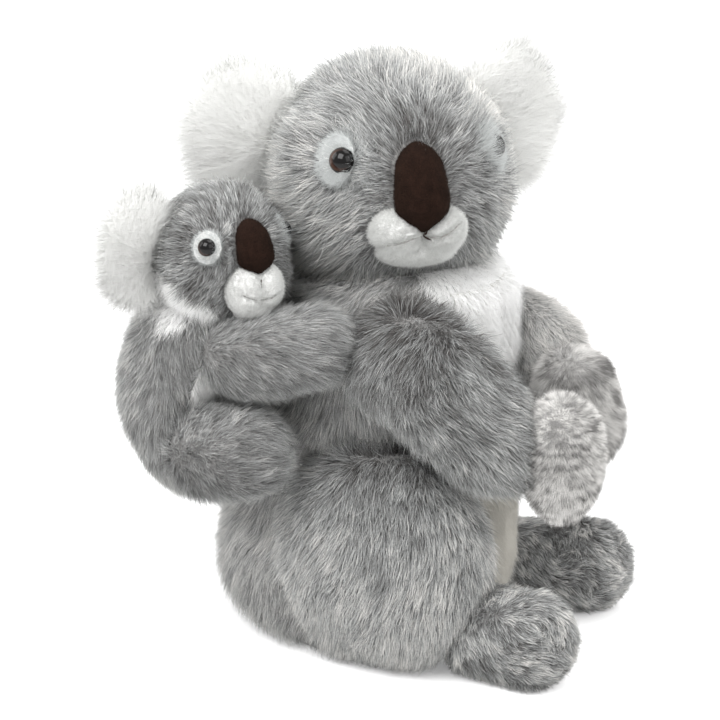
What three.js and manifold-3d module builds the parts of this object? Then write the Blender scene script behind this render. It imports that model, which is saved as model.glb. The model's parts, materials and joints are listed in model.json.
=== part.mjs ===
// A sitting plush koala with her baby clinging to her right flank.
// Millimetres, +Z up. The origin is the centre of her seat on the surface that she sits on.
// She faces -Y, so her right side is -X. Fur stays out: each form is the stuffed skin at mid pile.

import * as THREE from "three";
import { mergeVertices } from "three/addons/utils/BufferGeometryUtils.js";
import Module from "manifold-3d";

const wasm = await Module();
wasm.setup();

// Clearances and cloth
const seamGap = 0.35;
const clothThickness = 1.6;
const seatFlatDepth = 0.5;
const footFlatDepth = 0.5;
const cutOverrun = 60;
const facetTolerance = 0.06;
const thinnestFacet = 0.004;
const seatFacets = 20;

// Mother's body, seat and pellets
const bodyWidth = 120;
const bodyDepth = 136;
const bodyHeight = 184;
const bodySeatRounding = 20;
const bodyNeckRounding = 22;
const seatPanelWidth = 52;
const seatPanelDepth = 44;
const pelletBagHeight = 30;
const chestPanelWidth = 56;
const chestPanelHeight = 156;

// Mother's head and face
const headWidth = 103;
const headDepth = 104;
const headHeight = 99;
const headSink = 14;
const headTurn = -48;
const earReach = 52;
const earRoot = 12;
const earBackTurn = 25;
const earHeight = 67;
const earThickness = 17;
const muzzleWidth = 44;
const muzzleHeight = 21;
const muzzleDepth = 34;
const chinWidth = 38;
const chinHeight = 15;
const chinDepth = 27;
const noseHeight = 42;
const noseWidth = 25;
const noseDepth = 17;
const eyeDiameter = 12;
const eyePatchWidth = 18;
const eyePatchHeight = 23;

// Mother's arms, hands, legs and feet
const armLength = 96;
const armWidth = 50;
const handLength = 56;
const handWidth = 37;
const handDepth = 34;
const legLength = 104;
const legHeight = 100;
const legThickness = 56;
const footLength = 66;
const footWidth = 38;
const footHeight = 42;

// Baby's body, limbs and belly
const babyBodyLength = 104;
const babyBodyWidth = 52;
const babyBodyDepth = 50;
const babyArmLength = 72;
const babyArmWidth = 37;
const babyLegLength = 60;
const babyLegWidth = 43;
const babyBellyWidth = 34;
const babyBellyHeight = 50;

// Baby's head and face
const babyHeadWidth = 57;
const babyHeadDepth = 56;
const babyHeadHeight = 60;
const babyHeadTurn = -28;
const babyHeadSink = 16;
const babyEarReach = 32;
const babyEarRoot = 8;
const babyEarBackTurn = 8;
const babyEarFoldedTurn = 77;
const babyEarHeight = 54;
const babyEarThickness = 12;
const babyMuzzleWidth = 29;
const babyMuzzleHeight = 21;
const babyMuzzleDepth = 19;
const babyNoseHeight = 27;
const babyNoseWidth = 18;
const babyNoseDepth = 12;
const babyEyeDiameter = 8;
const babyEyePatchWidth = 13;
const babyEyePatchHeight = 15;

// Eye hardware: a domed eye on a shank, held by a washer behind the cloth
const shankShare = 0.36;
const shankLengthShare = 0.95;
const domeHeightShare = 0.42;
const washerShare = 1.15;
const washerThicknessShare = 0.14;

// Ranges of the sewn seams that flex, in degrees
const headSwing = [-12, 6];
const babyHeadSwing = [-8, 8];
const armSwing = [0, 20];
const earSwing = [-15, 15];
const finestSwing = 2.5;

// Shares of half the width, half the depth and the height of the body
const bodySpineShares = [
  [0, 0.02, 0],
  [0, -0.2, 0.3],
  [0, -0.24, 0.55],
  [0.02, -0.36, 0.8],
  [0.03, -0.305, 1],
];
const bodyWidthShares = [0.93, 1, 1, 0.93, 0.87, 0.84, 0.83, 0.8];
const bodyRoundingPowers = [6, 2];
const bodyDepthShares = [0.9, 1, 1, 0.92, 0.85, 0.8, 0.78, 0.74];

// Shares of each form's own widest size, from the start of its spine to the end
const headWidthShares = [0.9, 1, 1.02, 0.96, 0.86];
const headRoundingPowers = [2.7, 2.25];
const headDepthShares = [0.9, 0.98, 1, 0.97, 0.88];
const earWidthShares = [0.55, 0.72, 0.95, 1, 0.85];
const earDepthShares = [0.7, 0.8, 1, 0.9, 0.7];
const armWidthShares = [1, 1, 0.97, 0.86, 0.68];
const legWidthShares = [0.86, 1, 1.02, 0.98, 0.86];
const handWidthShares = [0.85, 1, 1, 0.9, 0.72];
const footWidthShares = [0.86, 0.94, 1, 1, 0.9];
const babyBodyWidthShares = [0.74, 0.92, 1, 1, 0.84];
const babyLimbWidthShares = [0.98, 1, 0.94, 0.9, 0.86];
const noseWidthShares = [0.64, 0.86, 0.98, 1, 0.64];
const chestOutlineShares = [[0.7, 0.14], [0.6, 0.45], [1, 0.8], [0.9, 1]];
const babyBellyFacingShares = [-0.55, -0.83, 0];
const evenShares = [1, 1];
const limbEndShare = 0.42;
const legEndShare = 0.36;
const earTipShare = 0.55;
const earRiseShare = 0.1;
const foldedRiseShare = -1.0;
const muzzleLobeShare = 0.58;
const muzzleSpreadShare = 0.18;
const babyChinShares = [0.62, 0.5, 0.8];
const domeProfileShares = [[1, 0], [0.92, 0.45], [0.62, 0.83], [0, 1]];
const toleranceGrowthShare = 1.3;
const floorReachShare = 4;

// Places: shares of half the width, half the depth and the height of the carrying form
const earPlaceShares = [0.76, 0.23, 0.24];
const babyEarPlaceShares = [0.76, 0.3, 0.12];
const shoulderShares = { right: [-0.68, -0.46, 0.825], left: [0.58, -0.42, 0.735] };
const hipShares = { right: [-0.74, 0.12, 0.28], left: [0.74, 0.12, 0.28] };
const ankleShares = { right: [-0.66, -1.05, 0.115], left: [0.74, -0.81, 0.115] };
const babySeatShares = [-1.18, 0.48, 0.43];
const babyShoulderShares = { right: [-0.37, -0.3, 0.67], left: [0.59, 0.25, 0.75] };
const babyHipShares = { right: [-0.4, 0.18, 0.21], left: [0.52, 0.54, 0.18] };

// Courses of the limbs: shares of each limb's own length, from its root
const armCourseShares = {
  right: [[0, 0, 0], [-0.1, -0.45, -0.14], [-0.05, -0.84, -0.54]],
  left: [[0, 0, 0], [0.08, -0.44, -0.06], [-0.13, -0.74, -0.26]],
};
const handPlaceShares = { right: [0.18, -0.22, 0.66], left: [-0.14, -0.04, 0.56] };
const handCourseShares = {
  right: [[0, 0, 0], [0.02, -0.04, -0.5], [0.03, -0.03, -1.03]],
  left: [[0, 0, 0], [-0.03, -0.2, -0.45], [-0.08, -0.36, -0.9]],
};
const legCourseShares = {
  right: [[0, 0, 0], [-0.03, -0.5, 0.01], [-0.03, -0.98, 0]],
  left: [[0, 0, 0], [0.15, -0.33, 0.01], [0.33, -0.56, -0.02]],
};
const footCourseShares = {
  right: [[0, 0, 0], [0, -0.5, 0], [-0.03, -0.95, 0.04]],
  left: [[-0.08, 0.14, 0], [0.13, -0.5, 0], [0.27, -0.94, 0.04]],
};
const babyCourseShares = [[0, 0, 0], [-0.03, 0.16, 0.45], [-0.02, -0.065, 0.95]];
const babyArmCourseShares = {
  right: [[0, 0, 0], [-0.06, -0.42, 0.06], [0.28, -0.82, 0.14]],
  left: [[0, 0, 0], [0.28, 0.14, 0], [0.56, 0.14, -0.14]],
};
const babyLegCourseShares = {
  right: [[0, 0, 0], [-0.16, -0.4, 0.08], [-0.1, -0.88, 0.16]],
  left: [[0, 0, 0], [0.34, 0.2, -0.06], [0.65, 0.3, -0.15]],
};

const sides = { right: -1, left: 1 };

const furGrey = { color: 0x8a8a8a, roughness: 0.95, metalness: 0 };
const furWhite = { color: 0xf0f0ee, roughness: 0.95, metalness: 0 };
const handGrey = { color: 0xa8a8a8, roughness: 0.95, metalness: 0 };
const noseBrown = { color: 0x3a2420, roughness: 0.85, metalness: 0 };
const eyeBrown = { color: 0x1c100c, roughness: 0.1, metalness: 0 };
const washerPlastic = { color: 0xe8e8e8, roughness: 0.5, metalness: 0 };
const liningCloth = { color: 0xd8d8d4, roughness: 0.9, metalness: 0 };

// A value between the entries of a table, smoothly, at a share of the table's length
function tableAt(table, share) {
  const place = THREE.MathUtils.clamp(share, 0, 1) * (table.length - 1);
  const left = Math.min(Math.floor(place), table.length - 2);
  const before = table[Math.max(left - 1, 0)];
  const after = table[Math.min(left + 2, table.length - 1)];
  const [start, end] = [table[left], table[left + 1]];
  const step = place - left;
  const startSlope = (end - before) / 2;
  const endSlope = (after - start) / 2;
  const rise = end - start;
  const cubic = startSlope + endSlope - 2 * rise;
  const square = 3 * rise - 2 * startSlope - endSlope;
  return start + step * (startSlope + step * (square + step * cubic));
}

// Places along a form and how far each end's rounding has closed the section there
function stationsOf(length, form, grow) {
  const stations = [];
  const [startRound, endRound] = form.ends.map((end) => end + grow);
  const [startPower, endPower] = form.powers;
  const closing = (share, power) => (1 - (1 - share) ** power) ** (1 / power);
  for (let ring = 1; ring < form.capRings; ring++) {
    const share = 1 - Math.cos((ring / form.capRings) * (Math.PI / 2));
    stations.push([share * startRound - grow, closing(share, startPower)]);
  }
  const middle = length - form.ends[0] - form.ends[1];
  for (let ring = 0; ring <= form.rings; ring++) {
    stations.push([form.ends[0] + (middle * ring) / Math.max(form.rings, 1), 1]);
  }
  for (let ring = form.capRings - 1; ring > 0; ring--) {
    const share = 1 - Math.cos((ring / form.capRings) * (Math.PI / 2));
    stations.push([length + grow - share * endRound, closing(share, endPower)]);
  }
  return stations;
}

// A stuffed form: a swelling and tapering section carried along a spine, with rounded ends
function stuffedGeometry(form, grow = 0) {
  const curve = new THREE.CatmullRomCurve3(form.spine);
  const length = curve.getLength();
  const points = [];
  const spineAt = (place) => {
    const share = THREE.MathUtils.clamp(place / length, 0, 1);
    const tangent = curve.getTangentAt(share);
    const beyond = place - share * length;
    return { centre: curve.getPointAt(share).addScaledVector(tangent, beyond), tangent, share };
  };
  const stations = stationsOf(length, form, grow);
  points.push(spineAt(-grow).centre);
  for (const [place, closed] of stations) {
    const { centre, tangent, share } = spineAt(place);
    const across = form.across.clone().projectOnPlane(tangent).normalize();
    const over = new THREE.Vector3().crossVectors(tangent, across);
    const width = (tableAt(form.widthShares, share) * form.width / 2 + grow) * closed;
    const depth = (tableAt(form.depthShares, share) * form.depth / 2 + grow) * closed;
    for (let side = 0; side < form.sides; side++) {
      const angle = (side / form.sides) * Math.PI * 2;
      const point = centre.clone().addScaledVector(across, width * Math.cos(angle));
      points.push(point.addScaledVector(over, depth * Math.sin(angle)));
    }
  }
  points.push(spineAt(length + grow).centre);
  return ringGeometry(points, stations.length, form.sides);
}

// Triangles between rings of points, with a single point before the first and after the last
function ringGeometry(points, rings, count) {
  const faces = [];
  const last = points.length - 1;
  for (let side = 0; side < count; side++) {
    const next = (side + 1) % count;
    faces.push(0, 1 + next, 1 + side);
    for (let ring = 0; ring < rings - 1; ring++) {
      const low = 1 + ring * count;
      const high = low + count;
      faces.push(low + side, low + next, high + next);
      faces.push(low + side, high + next, high + side);
    }
    faces.push(last, last - count + side, last - count + next);
  }
  const geometry = new THREE.BufferGeometry().setFromPoints(points);
  return geometry.setIndex(faces);
}

const formDefaults = {
  across: new THREE.Vector3(1, 0, 0),
  widthShares: evenShares,
  depthShares: evenShares,
  powers: [2, 2],
  capRings: 4,
  rings: 5,
  sides: 14,
};

// A ball-like form stands between the ends of its spine and is all rounding
function ballForm(width, depth, height, extra = {}) {
  const spine = [new THREE.Vector3(0, 0, -height / 2), new THREE.Vector3(0, 0, height / 2)];
  return { ...formDefaults, spine, width, depth, ends: [height / 2, height / 2], rings: 0, ...extra };
}

function offsetBy(start, shares, length) {
  return start.clone().addScaledVector(new THREE.Vector3(...shares), length);
}

// A limb: a form along a course that starts at its root
function limbForm(start, length, courseShares, width, depth, extra = {}) {
  const spine = courseShares.map((shares) => offsetBy(start, shares, length));
  const ends = [width * limbEndShare, width * limbEndShare];
  return { ...formDefaults, spine, width, depth, ends, ...extra };
}

function solidOf(geometry, matrix = new THREE.Matrix4()) {
  const bare = geometry.clone();
  bare.deleteAttribute("normal");
  bare.deleteAttribute("uv");
  const merged = mergeVertices(bare);
  const vertProperties = merged.attributes.position.array;
  const triVerts = new Uint32Array(merged.index.array);
  const solid = new wasm.Manifold(new wasm.Mesh({ numProp: 3, vertProperties, triVerts }));
  return solid.transform(matrix.elements);
}

function geometryOf(solid) {
  const mesh = solid.getMesh();
  const geometry = new THREE.BufferGeometry();
  geometry.setAttribute("position", new THREE.BufferAttribute(mesh.vertProperties, 3));
  geometry.setIndex(new THREE.BufferAttribute(mesh.triVerts, 1));
  geometry.computeVertexNormals();
  return geometry;
}

// Bodies that move: each has a group in the scene and a hinge about an axis through that group's origin
const koala = new THREE.Group();
const hinges = new Map();

function bodyGroup(parent, position, turn = 0) {
  const group = new THREE.Group();
  group.position.copy(position);
  group.rotation.z = THREE.MathUtils.degToRad(turn);
  parent.add(group);
  koala.updateMatrixWorld(true);
  return group;
}

// The hinge's axis is given in the group's own frame
function addHinge(group, axis, range) {
  const pivot = new THREE.Vector3().setFromMatrixPosition(group.matrixWorld);
  const worldAxis = axis.clone().transformDirection(group.matrixWorld);
  hinges.set(group, { pivot, axis: worldAxis, range });
}

function hingedAncestors(group) {
  const chain = [];
  for (let each = group; each; each = each.parent) {
    if (hinges.has(each)) chain.unshift(each);
  }
  return chain;
}

function turnAbout({ pivot, axis }, angle) {
  const turn = new THREE.Matrix4().makeRotationAxis(axis, THREE.MathUtils.degToRad(angle));
  const back = new THREE.Matrix4().makeTranslation(-pivot.x, -pivot.y, -pivot.z);
  return new THREE.Matrix4().makeTranslation(pivot.x, pivot.y, pivot.z).multiply(turn).multiply(back);
}

function placedBy(chain, angles) {
  const turned = (placed, group) => placed.multiply(turnAbout(hinges.get(group), angles.get(group)));
  return chain.reduce(turned, new THREE.Matrix4());
}

// The angles that one hinge passes through, in steps of at most a given angle
function anglesOf(hinged, most) {
  const [low, high] = hinges.get(hinged).range;
  const steps = Math.ceil((high - low) / most);
  return Array.from({ length: steps + 1 }, (_, step) => low + ((high - low) * step) / steps);
}

// Settings of the hinges between two bodies: each one alone, finely, and their ends together
function settingsOf(between) {
  const rest = new Map(between.map((hinged) => [hinged, 0]));
  const alone = between.flatMap((hinged) => {
    return anglesOf(hinged, finestSwing).map((angle) => new Map(rest).set(hinged, angle));
  });
  let together = [rest];
  for (const hinged of between) {
    const [low, high] = hinges.get(hinged).range;
    const ends = [...new Set([low, 0, high])];
    together = together.flatMap((setting) => ends.map((angle) => new Map(setting).set(hinged, angle)));
  }
  return [...alone, ...together];
}

// Where another body's pieces lie, seen from this one, over the ranges of the hinges between them
function posesBetween(group, other) {
  const own = hingedAncestors(group);
  const others = hingedAncestors(other);
  const ownOnly = own.filter((each) => !others.includes(each));
  const othersOnly = others.filter((each) => !own.includes(each));
  return settingsOf([...ownOnly, ...othersOnly]).map((setting) => {
    return placedBy(ownOnly, setting).invert().multiply(placedBy(othersOnly, setting));
  });
}

// The pieces made so far. A later, smaller piece is cut by the earlier ones grown by the seam gap.
const pieces = new Map();

function boxesMeet(first, second) {
  return [0, 1, 2].every((axis) => first.min[axis] < second.max[axis] && second.min[axis] < first.max[axis]);
}

// The height of the thinnest triangle of a solid
function thinnestFace(solid) {
  const { vertProperties, triVerts, numProp } = solid.getMesh();
  const corner = (index) => new THREE.Vector3().fromArray(vertProperties, triVerts[index] * numProp);
  let thinnest = Infinity;
  for (let index = 0; index < triVerts.length; index += 3) {
    const face = new THREE.Triangle(corner(index), corner(index + 1), corner(index + 2));
    const longest = Math.max(face.a.distanceTo(face.b), face.b.distanceTo(face.c), face.c.distanceTo(face.a));
    thinnest = Math.min(thinnest, (2 * face.getArea()) / longest);
  }
  return thinnest;
}

// Cuts leave splinters where two curved faces cross at a slant: they are merged into their neighbours
function withoutSplinters(cut) {
  const whole = cut.asOriginal();
  let tolerance = facetTolerance;
  let solid = whole.simplify(tolerance);
  while (thinnestFace(solid) < thinnestFacet && tolerance < seamGap) {
    tolerance *= toleranceGrowthShare;
    solid = whole.simplify(tolerance).asOriginal();
  }
  return solid;
}

function mainBodyOf(cut) {
  const solid = withoutSplinters(cut);
  return solid.decompose().reduce((most, each) => (each.volume() > most.volume() ? each : most));
}

function cutByEarlier(solid, group) {
  let cut = solid;
  for (const piece of pieces.values()) {
    if (!piece.grown) continue;
    for (const pose of posesBetween(group, piece.group)) {
      const cutter = piece.grown.transform(pose.elements);
      if (boxesMeet(cut.boundingBox(), cutter.boundingBox())) cut = cut.subtract(cutter);
    }
  }
  return mainBodyOf(cut);
}

function addPiece(name, group, look, solid, grown = null) {
  pieces.set(name, { group, look, solid: cutByEarlier(solid, group), grown });
}

function addForm(name, group, look, forms, extraCut = null) {
  const merged = (grow) => forms
    .map((form) => solidOf(stuffedGeometry(form, grow), group.matrixWorld))
    .reduce((whole, each) => whole.add(each));
  const solid = extraCut ? merged(0).subtract(extraCut) : merged(0);
  addPiece(name, group, look, solid, merged(seamGap));
}

// Everything below the surface that the toy sits on
function belowFloor() {
  const width = bodyWidth * floorReachShare;
  const box = new THREE.BoxGeometry(width, width, cutOverrun);
  return solidOf(box, new THREE.Matrix4().makeTranslation(0, 0, -cutOverrun / 2));
}

function outlinePrism(outline, frame) {
  const extent = { depth: bodyDepth, bevelEnabled: false, curveSegments: 6 };
  return solidOf(new THREE.ExtrudeGeometry(outline, extent), frame);
}

// A piece of cloth that lies on a form, inside an outline seen along the frame's Z axis
function clothOn(form, formMatrix, outline, frame) {
  const skin = (grow) => solidOf(stuffedGeometry(form, grow), formMatrix);
  const layer = skin(seamGap + clothThickness).subtract(skin(seamGap));
  return mainBodyOf(layer.intersect(outlinePrism(outline, frame)));
}

// The frame on a form's surface where a ray from inside comes out, with Z along the ray
function surfaceFrame(form, matrix, origin, direction) {
  const skin = new THREE.Mesh(stuffedGeometry(form), new THREE.MeshBasicMaterial({ side: THREE.DoubleSide }));
  skin.applyMatrix4(matrix);
  skin.updateMatrixWorld(true);
  const start = origin.clone().applyMatrix4(matrix);
  const way = direction.clone().transformDirection(matrix);
  const hit = new THREE.Raycaster(start, way).intersectObject(skin).at(-1);
  const up = new THREE.Vector3(0, 0, 1);
  const across = new THREE.Vector3().crossVectors(up, way).normalize();
  const over = new THREE.Vector3().crossVectors(way, across);
  return new THREE.Matrix4().makeBasis(across, over, way).setPosition(hit.point);
}

function lathed(profile, segments) {
  const points = profile.map(([radius, height]) => new THREE.Vector2(radius, height));
  const upright = new THREE.LatheGeometry(points, segments);
  return upright.rotateX(Math.PI / 2);
}

// The profile of a drum, or of a ring where its inner radius isn't 0
function drum(inner, outer, bottom, top) {
  const profile = [[inner, bottom], [outer, bottom], [outer, top], [inner, top]];
  return inner > 0 ? [...profile, profile[0]] : profile;
}

const frontward = new THREE.Vector3(0, -1, 0);
const upward = new THREE.Vector3(0, 0, 1);
const acrossX = new THREE.Vector3(1, 0, 0);
const origin = new THREE.Vector3();

function placeIn(half, shares) {
  return new THREE.Vector3(half[0] * shares[0], half[1] * shares[1], half[2] * shares[2]);
}

// The same place on either side: its shares are given for the left one
function sidePlace(half, shares, side) {
  return placeIn(half, [side * shares[0], ...shares.slice(1)]);
}

const bodyHalf = [bodyWidth / 2, bodyDepth / 2, bodyHeight];
const babyHalf = [babyBodyWidth / 2, babyBodyDepth / 2, babyBodyLength];

// The spine starts just below the surface that she sits on, so that her seat is cut flat
function bodySpinePoint(shares) {
  const height = shares[2] * bodyHeight - seatFlatDepth * (1 - shares[2]);
  return placeIn(bodyHalf, shares).setZ(height);
}

const bodyForm = {
  ...formDefaults,
  spine: bodySpineShares.map(bodySpinePoint),
  width: bodyWidth,
  depth: bodyDepth,
  widthShares: bodyWidthShares,
  depthShares: bodyDepthShares,
  ends: [bodySeatRounding, bodyNeckRounding],
  powers: bodyRoundingPowers,
  capRings: 5,
  rings: 9,
  sides: 24,
};

function lathedAtSeat(profile, scaleDepth) {
  return solidOf(lathed(profile, seatFacets).scale(1, scaleDepth, 1));
}

// The seat: a panel of cloth closes the pocket that holds the bag of pellets
function addBodyAndSeat() {
  const panelRadius = seatPanelWidth / 2;
  const depthRatio = seatPanelDepth / seatPanelWidth;
  const bagRadius = panelRadius - clothThickness;
  const bagBottom = clothThickness + seamGap;
  const bagTop = bagBottom + pelletBagHeight;
  const bagShoulder = bagTop - pelletBagHeight / 3;
  const bag = (grow) => [
    [0, bagBottom - grow],
    [bagRadius + grow, bagBottom - grow],
    [bagRadius + grow, bagShoulder],
    [bagRadius / 2 + grow, bagTop + grow],
    [0, bagTop + grow],
  ];
  const mouth = drum(0, panelRadius + seamGap, -cutOverrun, bagBottom);
  const panel = drum(0, panelRadius, 0, clothThickness);
  const pocket = lathedAtSeat(bag(seamGap), depthRatio).add(lathedAtSeat(mouth, depthRatio));
  const below = belowFloor();
  const grown = solidOf(stuffedGeometry(bodyForm, seamGap));
  const whole = solidOf(stuffedGeometry(bodyForm)).subtract(below).subtract(pocket);
  addPiece("mother_body", koala, furGrey, whole, grown);
  pieces.set("seat_panel", { group: koala, look: liningCloth, solid: lathedAtSeat(panel, depthRatio) });
  pieces.set("pellet_bag", { group: koala, look: liningCloth, solid: lathedAtSeat(bag(0), depthRatio) });
}

// The white cloth of the chest, waist and lower belly: half of its outline, mirrored
function chestOutline(grow) {
  const half = chestPanelWidth / 2 + grow;
  const height = chestPanelHeight + 2 * grow;
  const bendAt = ([across, up]) => new THREE.Vector2(half * across, height * up - grow);
  const bends = chestOutlineShares.map(bendAt);
  const outline = new THREE.Shape();
  outline.moveTo(0, -grow);
  outline.splineThru(bends);
  outline.lineTo(-bends.at(-1).x, bends.at(-1).y);
  const mirrored = bends.slice(0, -1).reverse().map((bend) => new THREE.Vector2(-bend.x, bend.y));
  outline.splineThru([...mirrored, new THREE.Vector2(0, -grow)]);
  return outline;
}

function addChestPanel() {
  const frame = new THREE.Matrix4().makeBasis(acrossX, upward, frontward);
  frame.setPosition(0, 0, bodyHeight - bodyNeckRounding / 2 - chestPanelHeight);
  addCloth("chest_panel", koala, bodyForm, chestOutline, frame);
}

// The pale cloth of the baby's belly, which shows between its arm and its leg
function addBabyBelly(form) {
  const outline = (grow) => {
    const oval = new THREE.Shape();
    const [halfWidth, halfHeight] = [babyBellyWidth / 2 + grow, babyBellyHeight / 2 + grow];
    oval.absellipse(0, babyBodyLength / 2, halfWidth, halfHeight, 0, Math.PI * 2);
    return oval;
  };
  const facing = new THREE.Vector3(...babyBellyFacingShares).normalize();
  const across = new THREE.Vector3().crossVectors(upward, facing);
  const frame = new THREE.Matrix4().makeBasis(across, upward, facing);
  addCloth("baby_belly", baby, form, outline, frame.premultiply(baby.matrixWorld));
}

// A flat piece of cloth on a form. What comes later is cut by the room that it takes up.
function addCloth(name, group, form, outlineOf, frame) {
  const fat = solidOf(stuffedGeometry(form, 2 * seamGap + clothThickness), group.matrixWorld);
  const room = fat.intersect(outlinePrism(outlineOf(seamGap), frame));
  addPiece(name, group, furWhite, clothOn(form, group.matrixWorld, outlineOf(0), frame), room);
}

function headForm(width, depth, height) {
  return ballForm(width, depth, height, {
    widthShares: headWidthShares,
    depthShares: headDepthShares,
    powers: headRoundingPowers,
    capRings: 7,
    sides: 22,
  });
}

// An ear: a pinched root set in the head, a wide round blade angled back
function addEar(name, head, place, sizes, side) {
  const group = bodyGroup(head, place);
  const back = THREE.MathUtils.degToRad(sizes.back);
  const outward = new THREE.Vector3(side * Math.cos(back), Math.sin(back), sizes.riseShare);
  const form = {
    ...formDefaults,
    spine: [-sizes.root, 0, sizes.reach].map((place) => outward.clone().multiplyScalar(place)),
    across: upward,
    width: sizes.height,
    depth: sizes.thickness,
    widthShares: earWidthShares,
    depthShares: earDepthShares,
    ends: [sizes.root / 2, sizes.reach * earTipShare],
  };
  if (sizes.swing) addHinge(group, upward, sizes.swing);
  addForm(name, group, furWhite, [form]);
}

// A face: muzzle of two lobes, chin, nose, and two eyes on white patches
function addFace(prefix, head, form, sizes) {
  const half = [form.width / 2, form.depth / 2, sizes.headHeight / 2];
  const at = (shares, child) => ({
    ...child,
    spine: child.spine.map((point) => point.clone().add(placeIn(half, shares))),
  });
  const { muzzle, chin, nose } = sizes;
  const lobeWidth = muzzle.width * muzzleLobeShare;
  const lobe = ballForm(lobeWidth, muzzle.depth, muzzle.height, { sides: 12, capRings: 4 });
  const lobes = [-1, 1].map((side) => at([side * muzzleSpreadShare, ...muzzle.shares], lobe));
  addForm(prefix + "_muzzle", head, furWhite, lobes);
  const chinBall = ballForm(chin.width, chin.depth, chin.height, { sides: 12, capRings: 3 });
  addForm(prefix + "_chin", head, furWhite, [at(chin.shares, chinBall)]);
  const noseStart = placeIn(half, nose.shares);
  const noseForm = limbForm(noseStart, nose.height, nose.courseShares, nose.width, nose.depth, {
    widthShares: noseWidthShares,
    depthShares: noseWidthShares,
    sides: 12,
    rings: 4,
    capRings: 3,
  });
  addForm(prefix + "_nose", head, noseBrown, [noseForm]);
  for (const sideName of Object.keys(sides)) {
    addEye(prefix, sideName, head, form, half, sizes.eye);
  }
}

// An eye: a glossy dome with a shank through its white patch, held by a washer inside the head
function addEye(prefix, sideName, head, form, half, eye) {
  const look = placeIn(half, eye.places[sideName]).normalize();
  const frame = surfaceFrame(form, head.matrixWorld, origin, look);
  const made = (profile, segments = 12) => solidOf(lathed(profile, segments), frame);
  const radius = eye.diameter / 2;
  const shank = radius * shankShare;
  const shankEnd = -eye.diameter * shankLengthShare;
  const seat = clothThickness + 2 * seamGap;
  const dome = eye.diameter * domeHeightShare;
  const domeProfile = domeProfileShares.map(([across, up]) => [radius * across, seat + dome * up]);
  const washerTop = shankEnd / 2;
  const washerBottom = washerTop - eye.diameter * washerThicknessShare;
  const washerRadius = radius * washerShare;
  const hole = shank + seamGap;
  const bore = made(drum(0, hole, shankEnd - seamGap, cutOverrun));
  const recess = made(drum(0, washerRadius + seamGap, washerBottom - seamGap, washerTop + seamGap));
  const nest = made(drum(0, radius + seamGap, seat - seamGap, cutOverrun), 14);
  const skull = pieces.get(`${prefix}_head`);
  skull.solid = skull.solid.subtract(bore.add(recess));
  const patch = eyePatch(form, head, frame, eye, eye.patchShifts[sideName]);
  const eyeProfile = [[0, shankEnd], [shank, shankEnd], [shank, seat], ...domeProfile];
  const eyeParts = {
    eye_patch: [furWhite, cutByNose(prefix, patch.subtract(bore.add(nest)))],
    eye: [eyeBrown, made(eyeProfile, 14)],
    eye_washer: [washerPlastic, made(drum(hole, washerRadius, washerBottom, washerTop))],
  };
  for (const [part, [material, solid]] of Object.entries(eyeParts)) {
    pieces.set(`${prefix}_${part}_${sideName}`, { group: head, look: material, solid });
  }
}

// The white cloth round an eye, shifted across it by a share of its own width
function eyePatch(form, head, frame, eye, shift) {
  const outline = new THREE.Shape();
  outline.absellipse(eye.patchWidth * shift, 0, eye.patchWidth / 2, eye.patchHeight / 2, 0, Math.PI * 2);
  const inward = frame.clone().multiply(new THREE.Matrix4().makeTranslation(0, 0, -eye.diameter));
  return clothOn(form, head.matrixWorld, outline, inward);
}

function cutByNose(prefix, patch) {
  const cutters = [`${prefix}_muzzle`, `${prefix}_nose`].map((name) => pieces.get(name).grown);
  return mainBodyOf(cutters.reduce((left, cutter) => left.subtract(cutter), patch));
}

// A limb of one width. One that lies on the floor is cut flat there.
function addLimb(name, group, look, start, length, course, width, shares, extra = {}, onFloor = false) {
  const form = limbForm(start, length, course, width, extra.depth ?? width, {
    widthShares: shares,
    depthShares: shares,
    ...extra,
  });
  addForm(name, group, look, [form], onFloor ? belowFloor() : null);
}

function addLegs() {
  const end = legHeight * legEndShare;
  for (const sideName of Object.keys(sides)) {
    const hip = placeIn(bodyHalf, hipShares[sideName]);
    addLimb(`mother_leg_${sideName}`, koala, furGrey, hip, legLength, legCourseShares[sideName],
      legThickness, legWidthShares, { depth: legHeight, ends: [end, end], sides: 20, rings: 6 }, true);
  }
}

function addFeet() {
  for (const sideName of Object.keys(sides)) {
    const start = placeIn(bodyHalf, ankleShares[sideName]).setZ(footHeight / 2 - footFlatDepth);
    addLimb(`mother_foot_${sideName}`, koala, furGrey, start, footLength, footCourseShares[sideName],
      footWidth, footWidthShares, { depth: footHeight }, true);
  }
}

function addArm(sideName) {
  const shoulder = placeIn(bodyHalf, shoulderShares[sideName]);
  const group = bodyGroup(koala, shoulder);
  addHinge(group, acrossX.clone().negate(), armSwing);
  addLimb(`mother_arm_${sideName}`, group, furGrey, origin, armLength, armCourseShares[sideName],
    armWidth, armWidthShares, { sides: 16, rings: 6 });
  return group;
}

function addHand(sideName, group) {
  const wrist = offsetBy(origin, armCourseShares[sideName].at(-1), armLength);
  const start = offsetBy(wrist, handPlaceShares[sideName], handLength);
  addLimb(`mother_hand_${sideName}`, group, handGrey, start, handLength, handCourseShares[sideName],
    handWidth, handWidthShares, { depth: handDepth });
}

const neckTop = placeIn(bodyHalf, bodySpineShares.at(-1));
const headCentre = neckTop.clone().setZ(bodyHeight + headHeight / 2 - headSink);

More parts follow.
